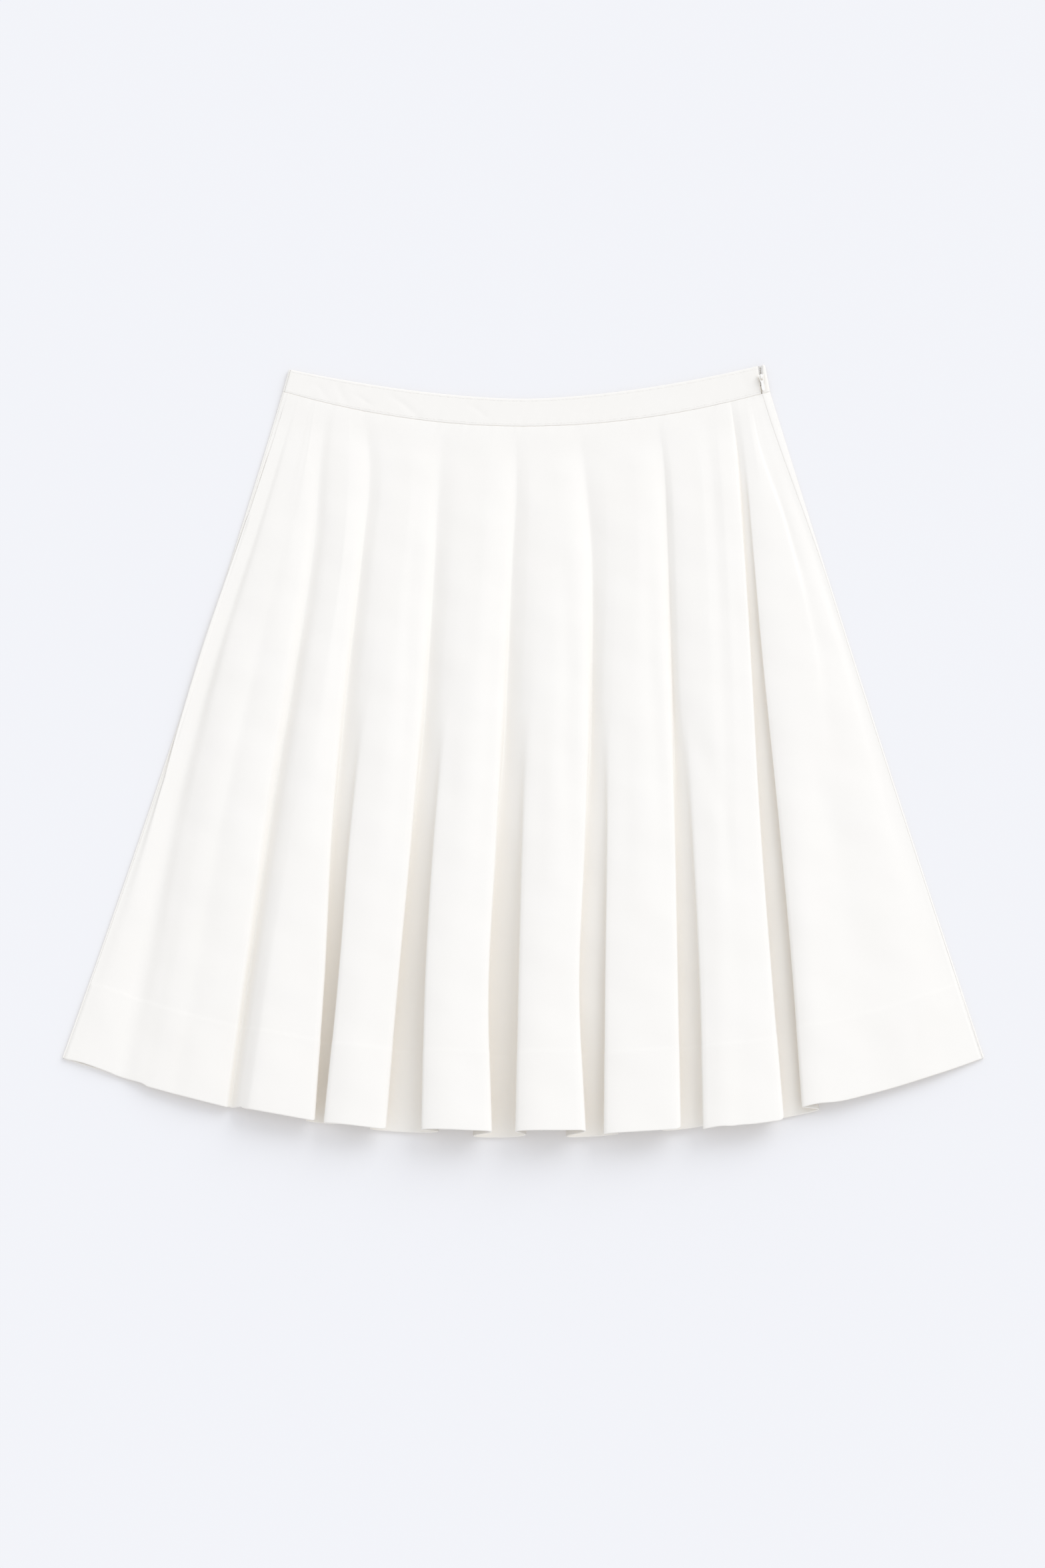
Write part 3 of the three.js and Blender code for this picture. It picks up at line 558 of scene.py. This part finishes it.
def add_piece(name, points, faces, material, slot, node=None, grain=None):
    """A smooth mesh from points in millimetres and faces of four, on the skirt's body and with its
    material; the slot that it is given is not used. It may take a node's place, and a shell may
    carry the grain map of its grid, in metres, on both sheets."""
    mesh = bpy.data.meshes.new(name)
    mesh.vertices.add(len(points))
    mesh.vertices.foreach_set("co", (np.asarray(points, float) * MM).ravel())
    mesh.loops.add(faces.size)
    mesh.loops.foreach_set("vertex_index", faces.ravel().astype(np.int32))
    mesh.polygons.add(len(faces))
    mesh.polygons.foreach_set("loop_start", np.arange(len(faces), dtype=np.int32) * faces.shape[1])
    mesh.polygons.foreach_set("use_smooth", np.ones(len(faces), bool))
    if grain is not None:
        both_sheets = np.concatenate([grain.reshape(-1, 2)] * 2)
        layer = mesh.uv_layers.new(name="grain")
        layer.uv.foreach_set("vector", both_sheets[faces.ravel()].astype(np.float32).ravel())
    mesh.update()
    mesh.validate()
    mesh.materials.append(material)
    piece = bpy.data.objects.new(name, mesh)
    bpy.context.collection.objects.link(piece)
    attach(piece, "skirt")
    if node:
        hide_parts(node)
    return piece


def grid_faces(rows, columns):
    """Faces of four of a grid of points numbered row by row, seen from above when the rows run
    down and the columns to the right."""
    corner = np.arange(rows - 1)[:, None] * columns + np.arange(columns - 1)
    return np.stack([corner, corner + columns, corner + columns + 1, corner + 1], -1).reshape(-1, 4)


def rim_faces(outer, inner):
    """Faces that join two rows of point numbers edge to edge."""
    return np.stack([outer[:-1], outer[1:], inner[1:], inner[:-1]], -1)


def joined(parts):
    """Several (points, faces) as one."""
    counts = np.cumsum([0] + [len(points) for points, _ in parts])
    return (np.concatenate([points for points, _ in parts]),
            np.concatenate([faces + count for (_, faces), count in zip(parts, counts)]))


def unit(vectors):
    """Vectors divided by their lengths."""
    return vectors / np.maximum(np.linalg.norm(vectors, axis=-1, keepdims=True), 1e-9)


def normals(points):
    """Upward normals of a grid: the slope down the rows crossed with the slope across them."""
    return unit(np.cross(np.gradient(points, axis=0), np.gradient(points, axis=1)))


def rim(distance, radius):
    """Share of the thickness left at a distance from a rounded edge: a half circle, cut off at
    RIM_LEAST."""
    inside = np.clip(distance / radius, 0, 1)
    return np.maximum(np.sqrt(1 - (1 - inside) ** 2), RIM_LEAST)


def shell(middle, thickness):
    """A closed shell about a grid: every point moved half the thickness out and in along its
    normal, the two sheets of faces joined all round."""
    rows, columns, _ = middle.shape
    offset = normals(middle) * (0.5 * np.broadcast_to(thickness, (rows, columns)))[..., None]
    points = np.concatenate([(middle + offset).reshape(-1, 3), (middle - offset).reshape(-1, 3)])
    count = rows * columns
    number = np.arange(count).reshape(rows, columns)
    top = grid_faces(rows, columns)
    under = top[:, ::-1] + count
    sides = [rim_faces(edge, edge + count) for edge in (
        number[0], number[::-1, 0], number[-1, ::-1], number[:, -1])]
    return points, np.concatenate([top, under, *sides])


def beads(places, ways, ups, length, width):
    """Small rounded bars of six sides, all in one mesh. Each lies along its way at its place:
    four hexagons, the two end ones drawn in, with the ends closed."""
    share = np.array([-0.5, -0.32, 0.32, 0.5])[:, None, None]
    radius = 0.5 * width * np.array([0.4, 1, 1, 0.4])[:, None, None]
    angle = np.arange(6)[None, :, None] * pi / 3
    sides = np.cross(ups, ways)[:, None, None]
    points = (places[:, None, None] + share * length * ways[:, None, None]
              + radius * (np.cos(angle) * sides + np.sin(angle) * ups[:, None, None]))
    ring = np.arange(6)
    after = (ring + 1) % 6
    tube = [np.stack([k + ring, k + after, k + after + 6, k + ring + 6], -1) for k in (0, 6, 12)]
    ends = np.array([[3, 2, 1, 0], [5, 4, 3, 0], [18, 19, 20, 21], [18, 21, 22, 23]])
    one = np.concatenate([*tube, ends])
    faces = one + 24 * np.arange(len(places))[:, None, None]
    return points.reshape(-1, 3), faces.reshape(-1, 4)


def stitch_places(strip, lift, pitch):
    """Places a pitch apart along the middle one of three rows of a surface, raised off it, with
    the row's direction and the surface's normal at each."""
    up = normals(strip)[1]
    line = strip[1] + lift * up
    pace = np.linalg.norm(np.diff(line, axis=0), axis=-1)
    run = np.concatenate([[0], np.cumsum(pace)])
    stops = np.arange(pitch, run[-1] - pitch / 2, pitch)

    def sample(values):
        return np.stack([np.interp(stops, run, column) for column in values.T], -1)

    way = unit(sample(np.gradient(line, axis=0)))
    side = unit(np.cross(sample(up), way))
    return sample(line), way, np.cross(way, side)


def stitch_row(name, strip, thickness, stitch, material, slot):
    """A row of stitches on the upper face of a cloth, along the middle one of three rows."""
    placed = stitch_places(strip, thickness / 2, stitch["pitch"])
    points, faces = beads(*placed, stitch["length"], stitch["width"])
    return add_piece(name, points, faces, material, slot)


# Curves

def along(values, v):
    """Value at share v down the panel of a row of a table: a cubic through the stations, whose
    slope at each is that of the line joining its neighbours."""
    values = np.asarray(values, float)
    order = np.arange(len(STATIONS))
    low, high = np.maximum(order - 1, 0), np.minimum(order + 1, len(STATIONS) - 1)
    slope = (values[high] - values[low]) / (STATIONS[high] - STATIONS[low])
    i = np.clip(np.searchsorted(STATIONS, v) - 1, 0, len(STATIONS) - 2)
    span = STATIONS[i + 1] - STATIONS[i]
    t = (v - STATIONS[i]) / span
    return ((2 * t**3 - 3 * t**2 + 1) * values[i] + (t**3 - 2 * t**2 + t) * span * slope[i]
            + (3 * t**2 - 2 * t**3) * values[i + 1] + (t**3 - t**2) * span * slope[i + 1])


def step(x):
    """Smooth step from 0 to 1."""
    x = np.clip(x, 0, 1)
    return x * x * (3 - 2 * x)


def left_side(v):
    """x of the left side: a straight line from the seam to the hem, bowed by a parabola."""
    return -(SEAM_LEFT + (HEM_HALF - SEAM_LEFT) * v) + SIDE_BOW_LEFT * 4 * v * (1 - v)


def right_side(v):
    """x of the right side, made as the left one."""
    return SEAM_RIGHT + (HEM_HALF - SEAM_RIGHT) * v - SIDE_BOW_RIGHT * 4 * v * (1 - v)


def right_strip(v):
    """Width of the back that shows beyond the right seam: it narrows down the zip's length."""
    return STRIP + (STRIP_AT_ZIP - STRIP) * (1 - step(v / ZIP_SHARE))


def row_y(x, v):
    """y of row v across the skirt: between the waist seam, a parabola that rises to the sides,
    and the hem, which rises by a power of the way out."""
    u = np.where(x < 0, x / left_side(v), x / right_side(v))
    seam = SEAM_CENTRE_Y + SEAM_RISE * u * u
    hem = HEM_CENTRE_Y + HEM_RISE * np.abs(u) ** HEM_POWER
    return seam + (hem - seam) * v


def hem_zone(v):
    """1 in the turned-up hem, 0 above it."""
    return step((v * PANEL_LENGTH - (PANEL_LENGTH - HEM_DEPTH - HEM_EASE / 2)) / HEM_EASE)


def cloth_thickness(v):
    """One layer of cloth, and more in the turned hem."""
    return CLOTH + (HEM_CLOTH - CLOTH) * hem_zone(v)


def floor_level(v):
    """Middle of the front's cloth where it lies on the back, one and a half layers and a gap up.
    It rises gently on to the thicker hem."""
    thicker = step((v * PANEL_LENGTH - PANEL_LENGTH + HEM_DEPTH + HEM_SETTLE / 2) / HEM_SETTLE)
    return 1.5 * (CLOTH + (HEM_CLOTH - CLOTH) * thicker) + LAYER_GAP


def settle(z, v):
    """The solids' walls are thicker than the cloth, so low cloth sinks to lie on the back,
    away from the waist seam."""
    share = SETTLE_AT_SEAM + (1 - SETTLE_AT_SEAM) * step(v * PANEL_LENGTH / SEAM_FADE)
    drop = (FLOOR_LEVEL - floor_level(v)) * share
    return z - drop * (1 - step((z - FLOOR_LEVEL) / SETTLE_HEIGHT))


def smooth(points, q):
    """Uniform cubic B-spline along the second axis, at parameters q counted in points. Inner
    control points are pushed away from their neighbours so that the curve comes back to them."""
    pushed = points.copy()
    pushed[:, 1:-1] = (8 * points[:, 1:-1] - points[:, :-2] - points[:, 2:]) / 6
    first = 2 * pushed[:, :1] - pushed[:, 1:2]
    last = 2 * pushed[:, -1:] - pushed[:, -2:-1]
    control = np.concatenate([first, pushed, last], axis=1)
    i = np.clip(np.floor(q).astype(int), 0, points.shape[1] - 2)
    t = (q - i)[:, None]
    weights = ((1 - t) ** 3, 3 * t**3 - 6 * t**2 + 4, -3 * t**3 + 3 * t**2 + 3 * t + 1, t**3)
    return sum(w * control[:, i + k] for k, w in enumerate(weights)) / 6


def crease(x, y, path, wide):
    """Share of a soft crease's depth at each point: a bell curve of the distance to its path,
    which fades out towards both ends of the path."""
    path = np.asarray(path, float)
    steps = np.diff(path, axis=0)
    lengths = np.hypot(*steps.T)
    gap, share = np.full(x.shape, np.inf), np.zeros(x.shape)
    for start, pace, length, before in zip(path, steps, lengths, np.cumsum(lengths) - lengths):
        across, down = x - start[0], y - start[1]
        t = np.clip((across * pace[0] + down * pace[1]) / length**2, 0, 1)
        here = np.hypot(across - t * pace[0], down - t * pace[1])
        share = np.where(here < gap, (before + t * length) / lengths.sum(), share)
        gap = np.minimum(gap, here)
    return np.exp(-(gap / wide) ** 2) * np.maximum(np.sin(pi * share), 0) ** CREASE_ENDS


def rumple(x, y):
    """Low unevenness: a sum of plane waves, each a radian further on than the last."""
    return sum(
        height * np.sin(2 * pi * (x * cos(radians(turn)) + y * sin(radians(turn))) / length + k)
        for k, (turn, length, height) in enumerate(RUMPLE))


def run_from_ends(middle):
    """Distance along each row of a grid from its start, and from its nearer end."""
    pace = np.linalg.norm(np.diff(middle, axis=1), axis=-1)
    run = np.concatenate([np.zeros((len(middle), 1)), np.cumsum(pace, axis=1)], axis=1)
    return run, np.minimum(run, run[:, -1:] - run)


def puckers(middle, distance):
    """Fine waves along the rows of a grid: a sum of sines of the run, which die away with the
    distance from the seam and fade out towards both ends of the rows."""
    run, nearer = run_from_ends(middle)
    waves = sum(height * np.sin(2 * pi * run / length) for length, height in PUCKERS)
    return waves * np.exp(-distance / PUCKER_REACH) * step(nearer / PUCKER_FADE)


def stack(points, like):
    """A list of points, each of several numbers or rows of numbers, as one array."""
    return np.stack([
        np.stack([np.broadcast_to(term, like.shape) for term in point], -1) for point in points
    ], 1)


def spread(section, count):
    """Parameters along a section that share out its length and its bends evenly, with a few
    more by its rounded ends."""
    last = section.shape[1] - 1
    dense = np.linspace(0, last, SECTION_SAMPLES * (last + 1))
    curve = smooth(section, dense)[0, :, :2]
    pace = np.diff(curve, axis=0)
    bend = np.abs(np.diff(np.unwrap(np.arctan2(pace[:, 1], pace[:, 0])), append=0))
    bend[-1] = 0
    cost = np.hypot(*pace.T) + BEND_WEIGHT * np.minimum(bend, BEND_MOST)
    spent = np.concatenate([[0], np.cumsum(cost)])
    inner = np.interp(np.linspace(0, spent[-1], count), spent, dense)
    ends = np.array(END_COLUMNS)
    return np.unique(np.concatenate([inner, ends, last - ends]))


# Front panel

def deep_trough(trough, v, before, after, hangs):
    """Points across a deep trough, blended between its shapes. Each lies at an edge plus shares
    of the trough's width, the shoulder and the run under, as high as a share of the crest."""
    left, right = along(trough["left"], v), along(trough["right"], v)
    sharper = trough.get("sharper", 0)
    sooner = UNDER_IF_SHARPER * sharper * step(v / SHARPER_FROM)
    share = np.clip(along(UNDER_SHARE, v) + sooner, 0, 1)
    form = np.clip(along(TROUGH_SHAPE, v) + sharper, 0, len(TROUGH_SHAPES) - 1)
    shallow = 1 - np.minimum(along(trough["depth"], v), 1)
    floor = FLOOR_LEVEL + shallow * (np.minimum(before, after) - FLOOR_LEVEL)
    left_reach = along(LEFT_SHOULDER, v) * trough["shoulder"][0] * (1 + trough.get("widens", 0) * v)
    right_reach = along(RIGHT_SHOULDER, v) * trough["shoulder"][1]
    sides = (
        (left, left_reach, trough["under"][0], before),
        (right, right_reach, trough["under"][1], after),
    )

    def place(point, edge, reach, run, crest):
        across, shoulder, under, height = point
        x = edge + across * (right - left) + shoulder * reach + under * run * share
        return np.array([x, floor + height * (crest - floor)])

    points = []
    for number, alike in enumerate(zip(*TROUGH_SHAPES)):
        side = sides[number >= FROM_LEFT]
        near = [np.maximum(0, 1 - np.abs(form - k)) for k in range(len(alike))]
        x, z = sum(weight * place(point, *side) for weight, point in zip(near, alike))
        points.append((x, z, hangs[(number >= FLOOR_FROM) + (number >= CREST_FROM)]))
    return points


def soft_trough(trough, v, before, after):
    """Points across a soft dip: below a line from one crest to the next, deepest and steepest
    just left of its centre."""
    offset = along(trough["centre"], v)
    centre = right_side(v) - offset if trough.get("side") == "right" else offset
    half = along(trough["half"], v)
    worn = along(trough["depth"], v) * (np.minimum(before, after) - FLOOR_LEVEL)
    return [
        (centre + share * half, before + (after - before) * rise - lowered * worn, trough["hang"])
        for share, rise, lowered in SOFT_SHAPE
    ]


def front_section(v):
    """Points (x, z, hang) that the front runs through at share v, from left to right."""
    start = left_side(v) + STRIP + SEAM_GAP
    end = right_side(v) - right_strip(v) - SEAM_GAP
    _, heights, hangs = zip(*CRESTS)
    height = [along(row, v) for row in heights]
    points = [(start, EDGE_LEVEL, 0), (start + EDGE_FLAT, EDGE_LEVEL, 0)]
    for i, trough in enumerate(TROUGHS):
        if "left" in trough:
            hang = (hangs[i], trough["hang"], hangs[i + 1])
            shape = deep_trough(trough, v, height[i], height[i + 1], hang)
        else:
            shape = soft_trough(trough, v, height[i], height[i + 1])
        top = points[-1][0] + CREST_PLACE * (shape[0][0] - points[-1][0])
        points.append((top, height[i], hangs[i]))
        points += shape
    edge = end - EDGE_FLAT
    points.append(((points[-1][0] + edge) / 2, height[-1], 0))
    points += [(edge, EDGE_LEVEL, 0), (end, EDGE_LEVEL, 0)]
    return stack(points, v)


def crest_places():
    """Number of each crest's point in the front's section, by its name. Two points of the flat
    by the seam come first, and each trough's points follow its crest."""
    places, number = {}, 2
    for (name, _, _), trough in zip(CRESTS, [*TROUGHS, None]):
        places[name] = number
        if trough:
            number += 1 + len(TROUGH_SHAPES[0] if "left" in trough else SOFT_SHAPE)
    return places


def panel_rows(count):
    """Shares down a panel: closer near the waist, with extra rows at the rounded edges and
    about the hem's stitching."""
    t = np.linspace(0, 1, count)
    stitched = 1 - (HEM_DEPTH + np.array(STITCH_ROWS)) / PANEL_LENGTH
    edge = np.array(EDGE_ROWS) / PANEL_LENGTH
    paced = t * (ROW_PACE[0] + ROW_PACE[1] * t)
    return np.unique(np.concatenate([paced, stitched, edge, 1 - edge]))


def edge_share(v, thickness, run):
    """Rounding of a panel's edges: at the waist and hem by v, at the sides by the run from the
    row's nearer end."""
    rows = np.minimum(v, 1 - v) * PANEL_LENGTH
    return rim(rows[:, None], thickness / 2) * rim(run, thickness / 2)


def sector_grain(v, run, cut):
    """Place of each point on the flat cut: along its arc by the run, out from the waist by v."""
    angle = (run / run[:, -1:] - 0.5) * cut["angle"]
    radius = cut["inner"] + PANEL_LENGTH * v[:, None]
    return np.stack([radius * np.sin(angle), -radius * np.cos(angle)], -1) * MM


def panel_piece(node, middle, v, cut, material):
    """A panel about its grid, with rounded edges and its grain along the flat cut."""
    thickness = cloth_thickness(v)[:, None]
    run, nearer = run_from_ends(middle)
    points, faces = shell(middle, thickness * edge_share(v, thickness, nearer))
    grain = sector_grain(v, run, cut)
    return add_piece(f"{node}_cloth", points, faces, material, "skirt_cotton", node, grain)


def front_middle(v, q):
    """Grid of the middle of the front's cloth: its sections, settled on to the back, less the
    furrows on the tops of the folds, plus low rumple and the waist seam's puckers."""
    curve = smooth(front_section(v), q)
    share = v[:, None]
    x, z, hang = curve[..., 0], np.maximum(curve[..., 1], FLOOR_LEVEL), curve[..., 2]
    y = row_y(x, share) - hang * share**3
    z = settle(z, share)
    clear = z - floor_level(share)
    places = crest_places()
    near, far = CREASE_REACH
    for crest, wide, deep, path in FOLD_CREASES:
        top = 1 - step((np.abs(q - places[crest]) - near) / (far - near))
        z = z - deep * crease(x, y, path, wide) * top * step(clear / CREASE_FADE)
    z = z + rumple(x, y) * step(clear / RUMPLE_FROM)
    z = z + puckers(np.stack([x, y, z], -1), share * PANEL_LENGTH)
    return np.stack([x, y, z], -1)


def front_panel(material):
    """The front, a shell about its grid."""
    rows, columns = FRONT_GRID
    v = panel_rows(rows)
    q = spread(front_section(np.array([PANEL_SECTION])), columns)
    middle = front_middle(v, q)
    return panel_piece("front_panel", middle, v, FRONT_CUT, material)


def hem_stitches(material):
    """Small prick stitches that hold the turned hem up, just showing on the front."""
    v = 1 - (HEM_DEPTH + np.array([1, 0, -1])) / PANEL_LENGTH
    q = np.linspace(1, front_section(v).shape[1] - 2, HEM_STITCH["points"])
    strip = front_middle(v, q)
    return stitch_row("hem_stitches", strip, CLOTH, HEM_STITCH, material, "skirt_cotton")


# Back panel

def side_roll(side, outward, strip, low, high, thickness):
    """Half circle of the cloth rolled up round a side, from the seam on the front down to the
    back. outward is -1 on the left and 1 on the right."""
    radius, middle = (high - low) / 2, (high + low) / 2
    centre = side - outward * (radius + thickness / 2)
    roll = [(side - outward * strip, high)]
    for i in range(ROLL_POINTS):
        angle = pi * (0.5 - i / (ROLL_POINTS - 1))
        roll.append((centre + outward * radius * cos(angle), middle + radius * sin(angle)))
    return roll


def back_section(v):
    """Points (x, z) of the back at share v: flat, rolled up round both sides, with a low crease
    under each hollow fold of the front."""
    thickness = cloth_thickness(v)
    low = thickness / 2
    high = settle(EDGE_LEVEL, v)
    share = np.maximum(along(UNDER_SHARE, v), 0)
    rise = BACK_CREASE_HEIGHT * np.sin(pi * np.minimum(v / BACK_CREASE_END, 1)) ** CREASE_ENDS
    points = side_roll(left_side(v), -1, STRIP, low, high, thickness)
    points += [(points[-1][0] + step_in, low) for step_in in ROLL_RUN]

    def flat_run(to, steps):
        start = points[-1][0]
        points.extend((start + (to - start) * i / steps, low) for i in range(1, steps + 1))

    deep = [trough for trough in TROUGHS if trough.get("under", (0, 0))[1] > 0]
    for trough, following in zip(deep, deep[1:]):
        near = along(trough["right"], v) + trough["under"][1] * share + CLOTH
        far = along(following["left"], v) - following["under"][0] * share - CLOTH
        middle, half = (near + far) / 2, BACK_CREASE_SHARE * (far - near)
        flat_run(middle - half, BEFORE_CREASE)
        points += [
            (middle + across * half, low + height * rise) for across, height in BACK_CREASE_SHAPE]
    right = side_roll(right_side(v), 1, right_strip(v), low, high, thickness)[::-1]
    flat_run(right[0][0] - ROLL_RUN[-1], AFTER_CREASES)
    points += [(right[0][0] - ROLL_RUN[0], low), *right]
    return stack(points, v)


def back_panel(material):
    """The back, whose hem is drawn up in the middle by BACK_HEM_SHORTER."""
    rows, columns = BACK_GRID
    v = panel_rows(rows)
    q = spread(back_section(np.array([PANEL_SECTION])), columns)
    curve = smooth(back_section(v), q)
    share = v[:, None]
    x = curve[..., 0]
    z = np.maximum(curve[..., 1], cloth_thickness(share) / 2)
    u = x / np.where(x < 0, left_side(share), right_side(share))
    shorter = BACK_HEM_SHORTER * share**3 * (1 - u * u)
    middle = np.stack([x, row_y(x, share) + shorter, z], -1)
    return panel_piece("back_panel", middle, v, BACK_CUT, material)


# Waistband

def band_side(s, right):
    """x of a side of the band: a straight line that leans in towards the top."""
    return SEAM_RIGHT - BAND_LEAN_RIGHT * s if right else -(SEAM_LEFT - BAND_LEAN_LEFT * s)


def band_y(x, s):
    """y up the band: s from 0 at the waist seam to 1 at its top edge, which rises to the sides
    by a power of the way out."""
    u = np.abs(np.where(x > 0, x / band_side(s, True), x / band_side(s, False)))
    seam = SEAM_CENTRE_Y + SEAM_RISE * u * u + SEAM_GAP
    rise = np.where(x > 0, BAND_TOP_RISE_RIGHT, BAND_TOP_RISE_LEFT)
    return seam + s * (BAND_TOP_CENTRE_Y + rise * u**BAND_TOP_POWER - seam)


def zip_end(line, s):
    """x of a band's end at the zip, along a straight line."""
    return line[0] + line[1] * s


def band_middle(section, s, q):
    """Grid of the middle of a band's doubled cloth. The front one has drag wrinkles, and puckers
    along both of its edges."""
    curve = smooth(section(s), q)
    x, z = curve[..., 0], curve[..., 1]
    y = band_y(x, s[:, None])
    if section is band_front_section:
        for wide, deep, path in BAND_CREASES:
            z = z - deep * crease(x, y, path, wide)
        edge = np.minimum(s, 1 - s)[:, None] * BAND_DEPTH
        z = z + puckers(np.stack([x, y, z], -1), edge)
    return np.stack([x, y, z], -1)


def band_piece(node, section, count, material):
    """A band of doubled cloth along a section, from its top edge down to the seam."""
    even = np.linspace(0, 1, BAND_ROWS)
    s = 1 - np.unique(np.concatenate([even, BAND_EDGE_ROWS]))
    q = spread(section(np.array([BAND_SECTION])), count)
    middle = band_middle(section, s, q)
    run, nearer = run_from_ends(middle)
    down = np.minimum(s, 1 - s)[:, None] * BAND_DEPTH
    thickness = BAND_CLOTH * rim(down, BAND_CLOTH / 2) * rim(nearer, BAND_CLOTH / 2)
    points, faces = shell(middle, thickness)
    up = np.broadcast_to(s[:, None] * BAND_DEPTH, run.shape)
    grain = np.stack([run, up], -1) * MM
    return add_piece(f"{node}_cloth", points, faces, material, "band_cotton", node, grain)


def band_front_section(s):
    """Points (x, z) of the front band, level from its left seam to the zip."""
    start, end = band_side(s, False) + STRIP + SEAM_GAP, zip_end(ZIP_FRONT, s)
    shares = np.linspace(0, 1, BAND_POINTS)
    return stack([(start + (end - start) * k, BAND_FRONT_LEVEL) for k in shares], s)


def band_back_section(s):
    """Points (x, z) of the back band: flat, and rolled up round both sides."""
    levels = (BAND_BACK_LEVEL, BAND_FRONT_LEVEL, BAND_CLOTH)
    left = side_roll(band_side(s, False), -1, STRIP, *levels)
    side = band_side(s, True)
    right = side_roll(side, 1, side - zip_end(ZIP_BACK, s), *levels)[::-1]
    start, end = left[-1][0], right[0][0]
    shares = np.linspace(0, 1, BAND_POINTS)[1:-1]
    flat = [(start + (end - start) * k, BAND_BACK_LEVEL) for k in shares]
    return stack([*left, *flat, *right], s)


def topstitching(name, share, material):
    """A row of stitches along the front band, at a share of the way up it."""
    s = share + np.array([1, 0, -1]) / BAND_DEPTH
    q = np.linspace(0, BAND_POINTS - 1, TOPSTITCH["points"])
    strip = band_middle(band_front_section, s, q)
    return stitch_row(name, strip, BAND_CLOTH, TOPSTITCH, material, "band_cotton")


# Zip

def tape_edges(s):
    """Outer and inner edges of the two halves of the tape, which part towards the top."""
    left, right = zip_end(ZIP_FRONT, s) + SEAM_GAP, zip_end(ZIP_BACK, s) - SEAM_GAP
    inset = TAPE_SHARE * (right - left)
    return (left, left + inset), (right - inset, right)


def zip_tapes(material):
    """Two strips of woven tape, each a flat grid from its outer edge to its inner one."""
    rows, columns = TAPE_GRID
    s = np.linspace(1, TAPE_FROM, rows)[:, None]
    halves = []
    for start, end in tape_edges(s):
        x = start + (end - start) * np.linspace(0, 1, columns)
        y = band_y(x, s) - TAPE_BELOW_TOP * s
        halves.append(shell(np.stack([x, y, np.full(x.shape, TAPE_LEVEL)], -1), TAPE_CLOTH))
    return add_piece("zip_tape_cloth", *joined(halves), material, "zip_tape", "zip_tape")


def zip_teeth(material):
    """Two rows of small rounded teeth across the tape's inner edges, from the slider up."""
    height = (1 - TAPE_FROM) * BAND_DEPTH
    s = 1 - (np.arange(1, height / TOOTH["pitch"]) * TOOTH["pitch"]) / BAND_DEPTH
    rows = []
    for side in (0, 1):
        s_here = s - side * TOOTH["pitch"] / 2 / BAND_DEPTH
        edge = tape_edges(s_here)[side][1 - side]
        level = np.full(edge.shape, TAPE_LEVEL + TAPE_CLOTH / 2 + TOOTH["lift"])
        places = np.stack([edge, band_y(edge, s_here), level], -1)
        ways = np.broadcast_to([1.0, 0, 0], places.shape)
        ups = np.broadcast_to([0, 0, 1.0], places.shape)
        rows.append(beads(places, ways, ups, TOOTH["length"], TOOTH["width"]))
    return add_piece("zip_teeth", *joined(rows), material, "zip_tape")


# Making the skirt

place_camera()
light_studio()

skirt_cotton = cotton("skirt_cotton_sateen", (0.876, 0.837, 0.769), (0.866, 0.823, 0.748))
band_cotton = cotton("band_cotton_sateen", (0.866, 0.827, 0.759), (0.856, 0.813, 0.738))
thread = sewing_thread()
white_enamel = enamel()

front = front_panel(skirt_cotton)
back = back_panel(skirt_cotton)
band_front = band_piece("waistband_front", band_front_section, BAND_COLUMNS["front"], band_cotton)
band_back = band_piece("waistband_back", band_back_section, BAND_COLUMNS["back"], band_cotton)

for node in ("zip_slider", "zip_pull"):
    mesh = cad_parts[node].data
    mesh.materials.clear()
    mesh.materials.append(white_enamel)

hem_row = hem_stitches(thread)
band_rows = [
    topstitching("band_top_stitches", 1 - TOPSTITCH["inset"] / BAND_DEPTH, thread),
    topstitching("band_seam_stitches", TOPSTITCH["inset"] / BAND_DEPTH, thread),
]
tapes = zip_tapes(tape_weave())
teeth = zip_teeth(tooth_nylon())

bpy.ops.mesh.primitive_plane_add(size=FLOOR_SIZE, location=(0, 0, FLOOR_Z))
floor = bpy.context.object
floor.name = "floor"
floor.data.materials.append(floor_paint())
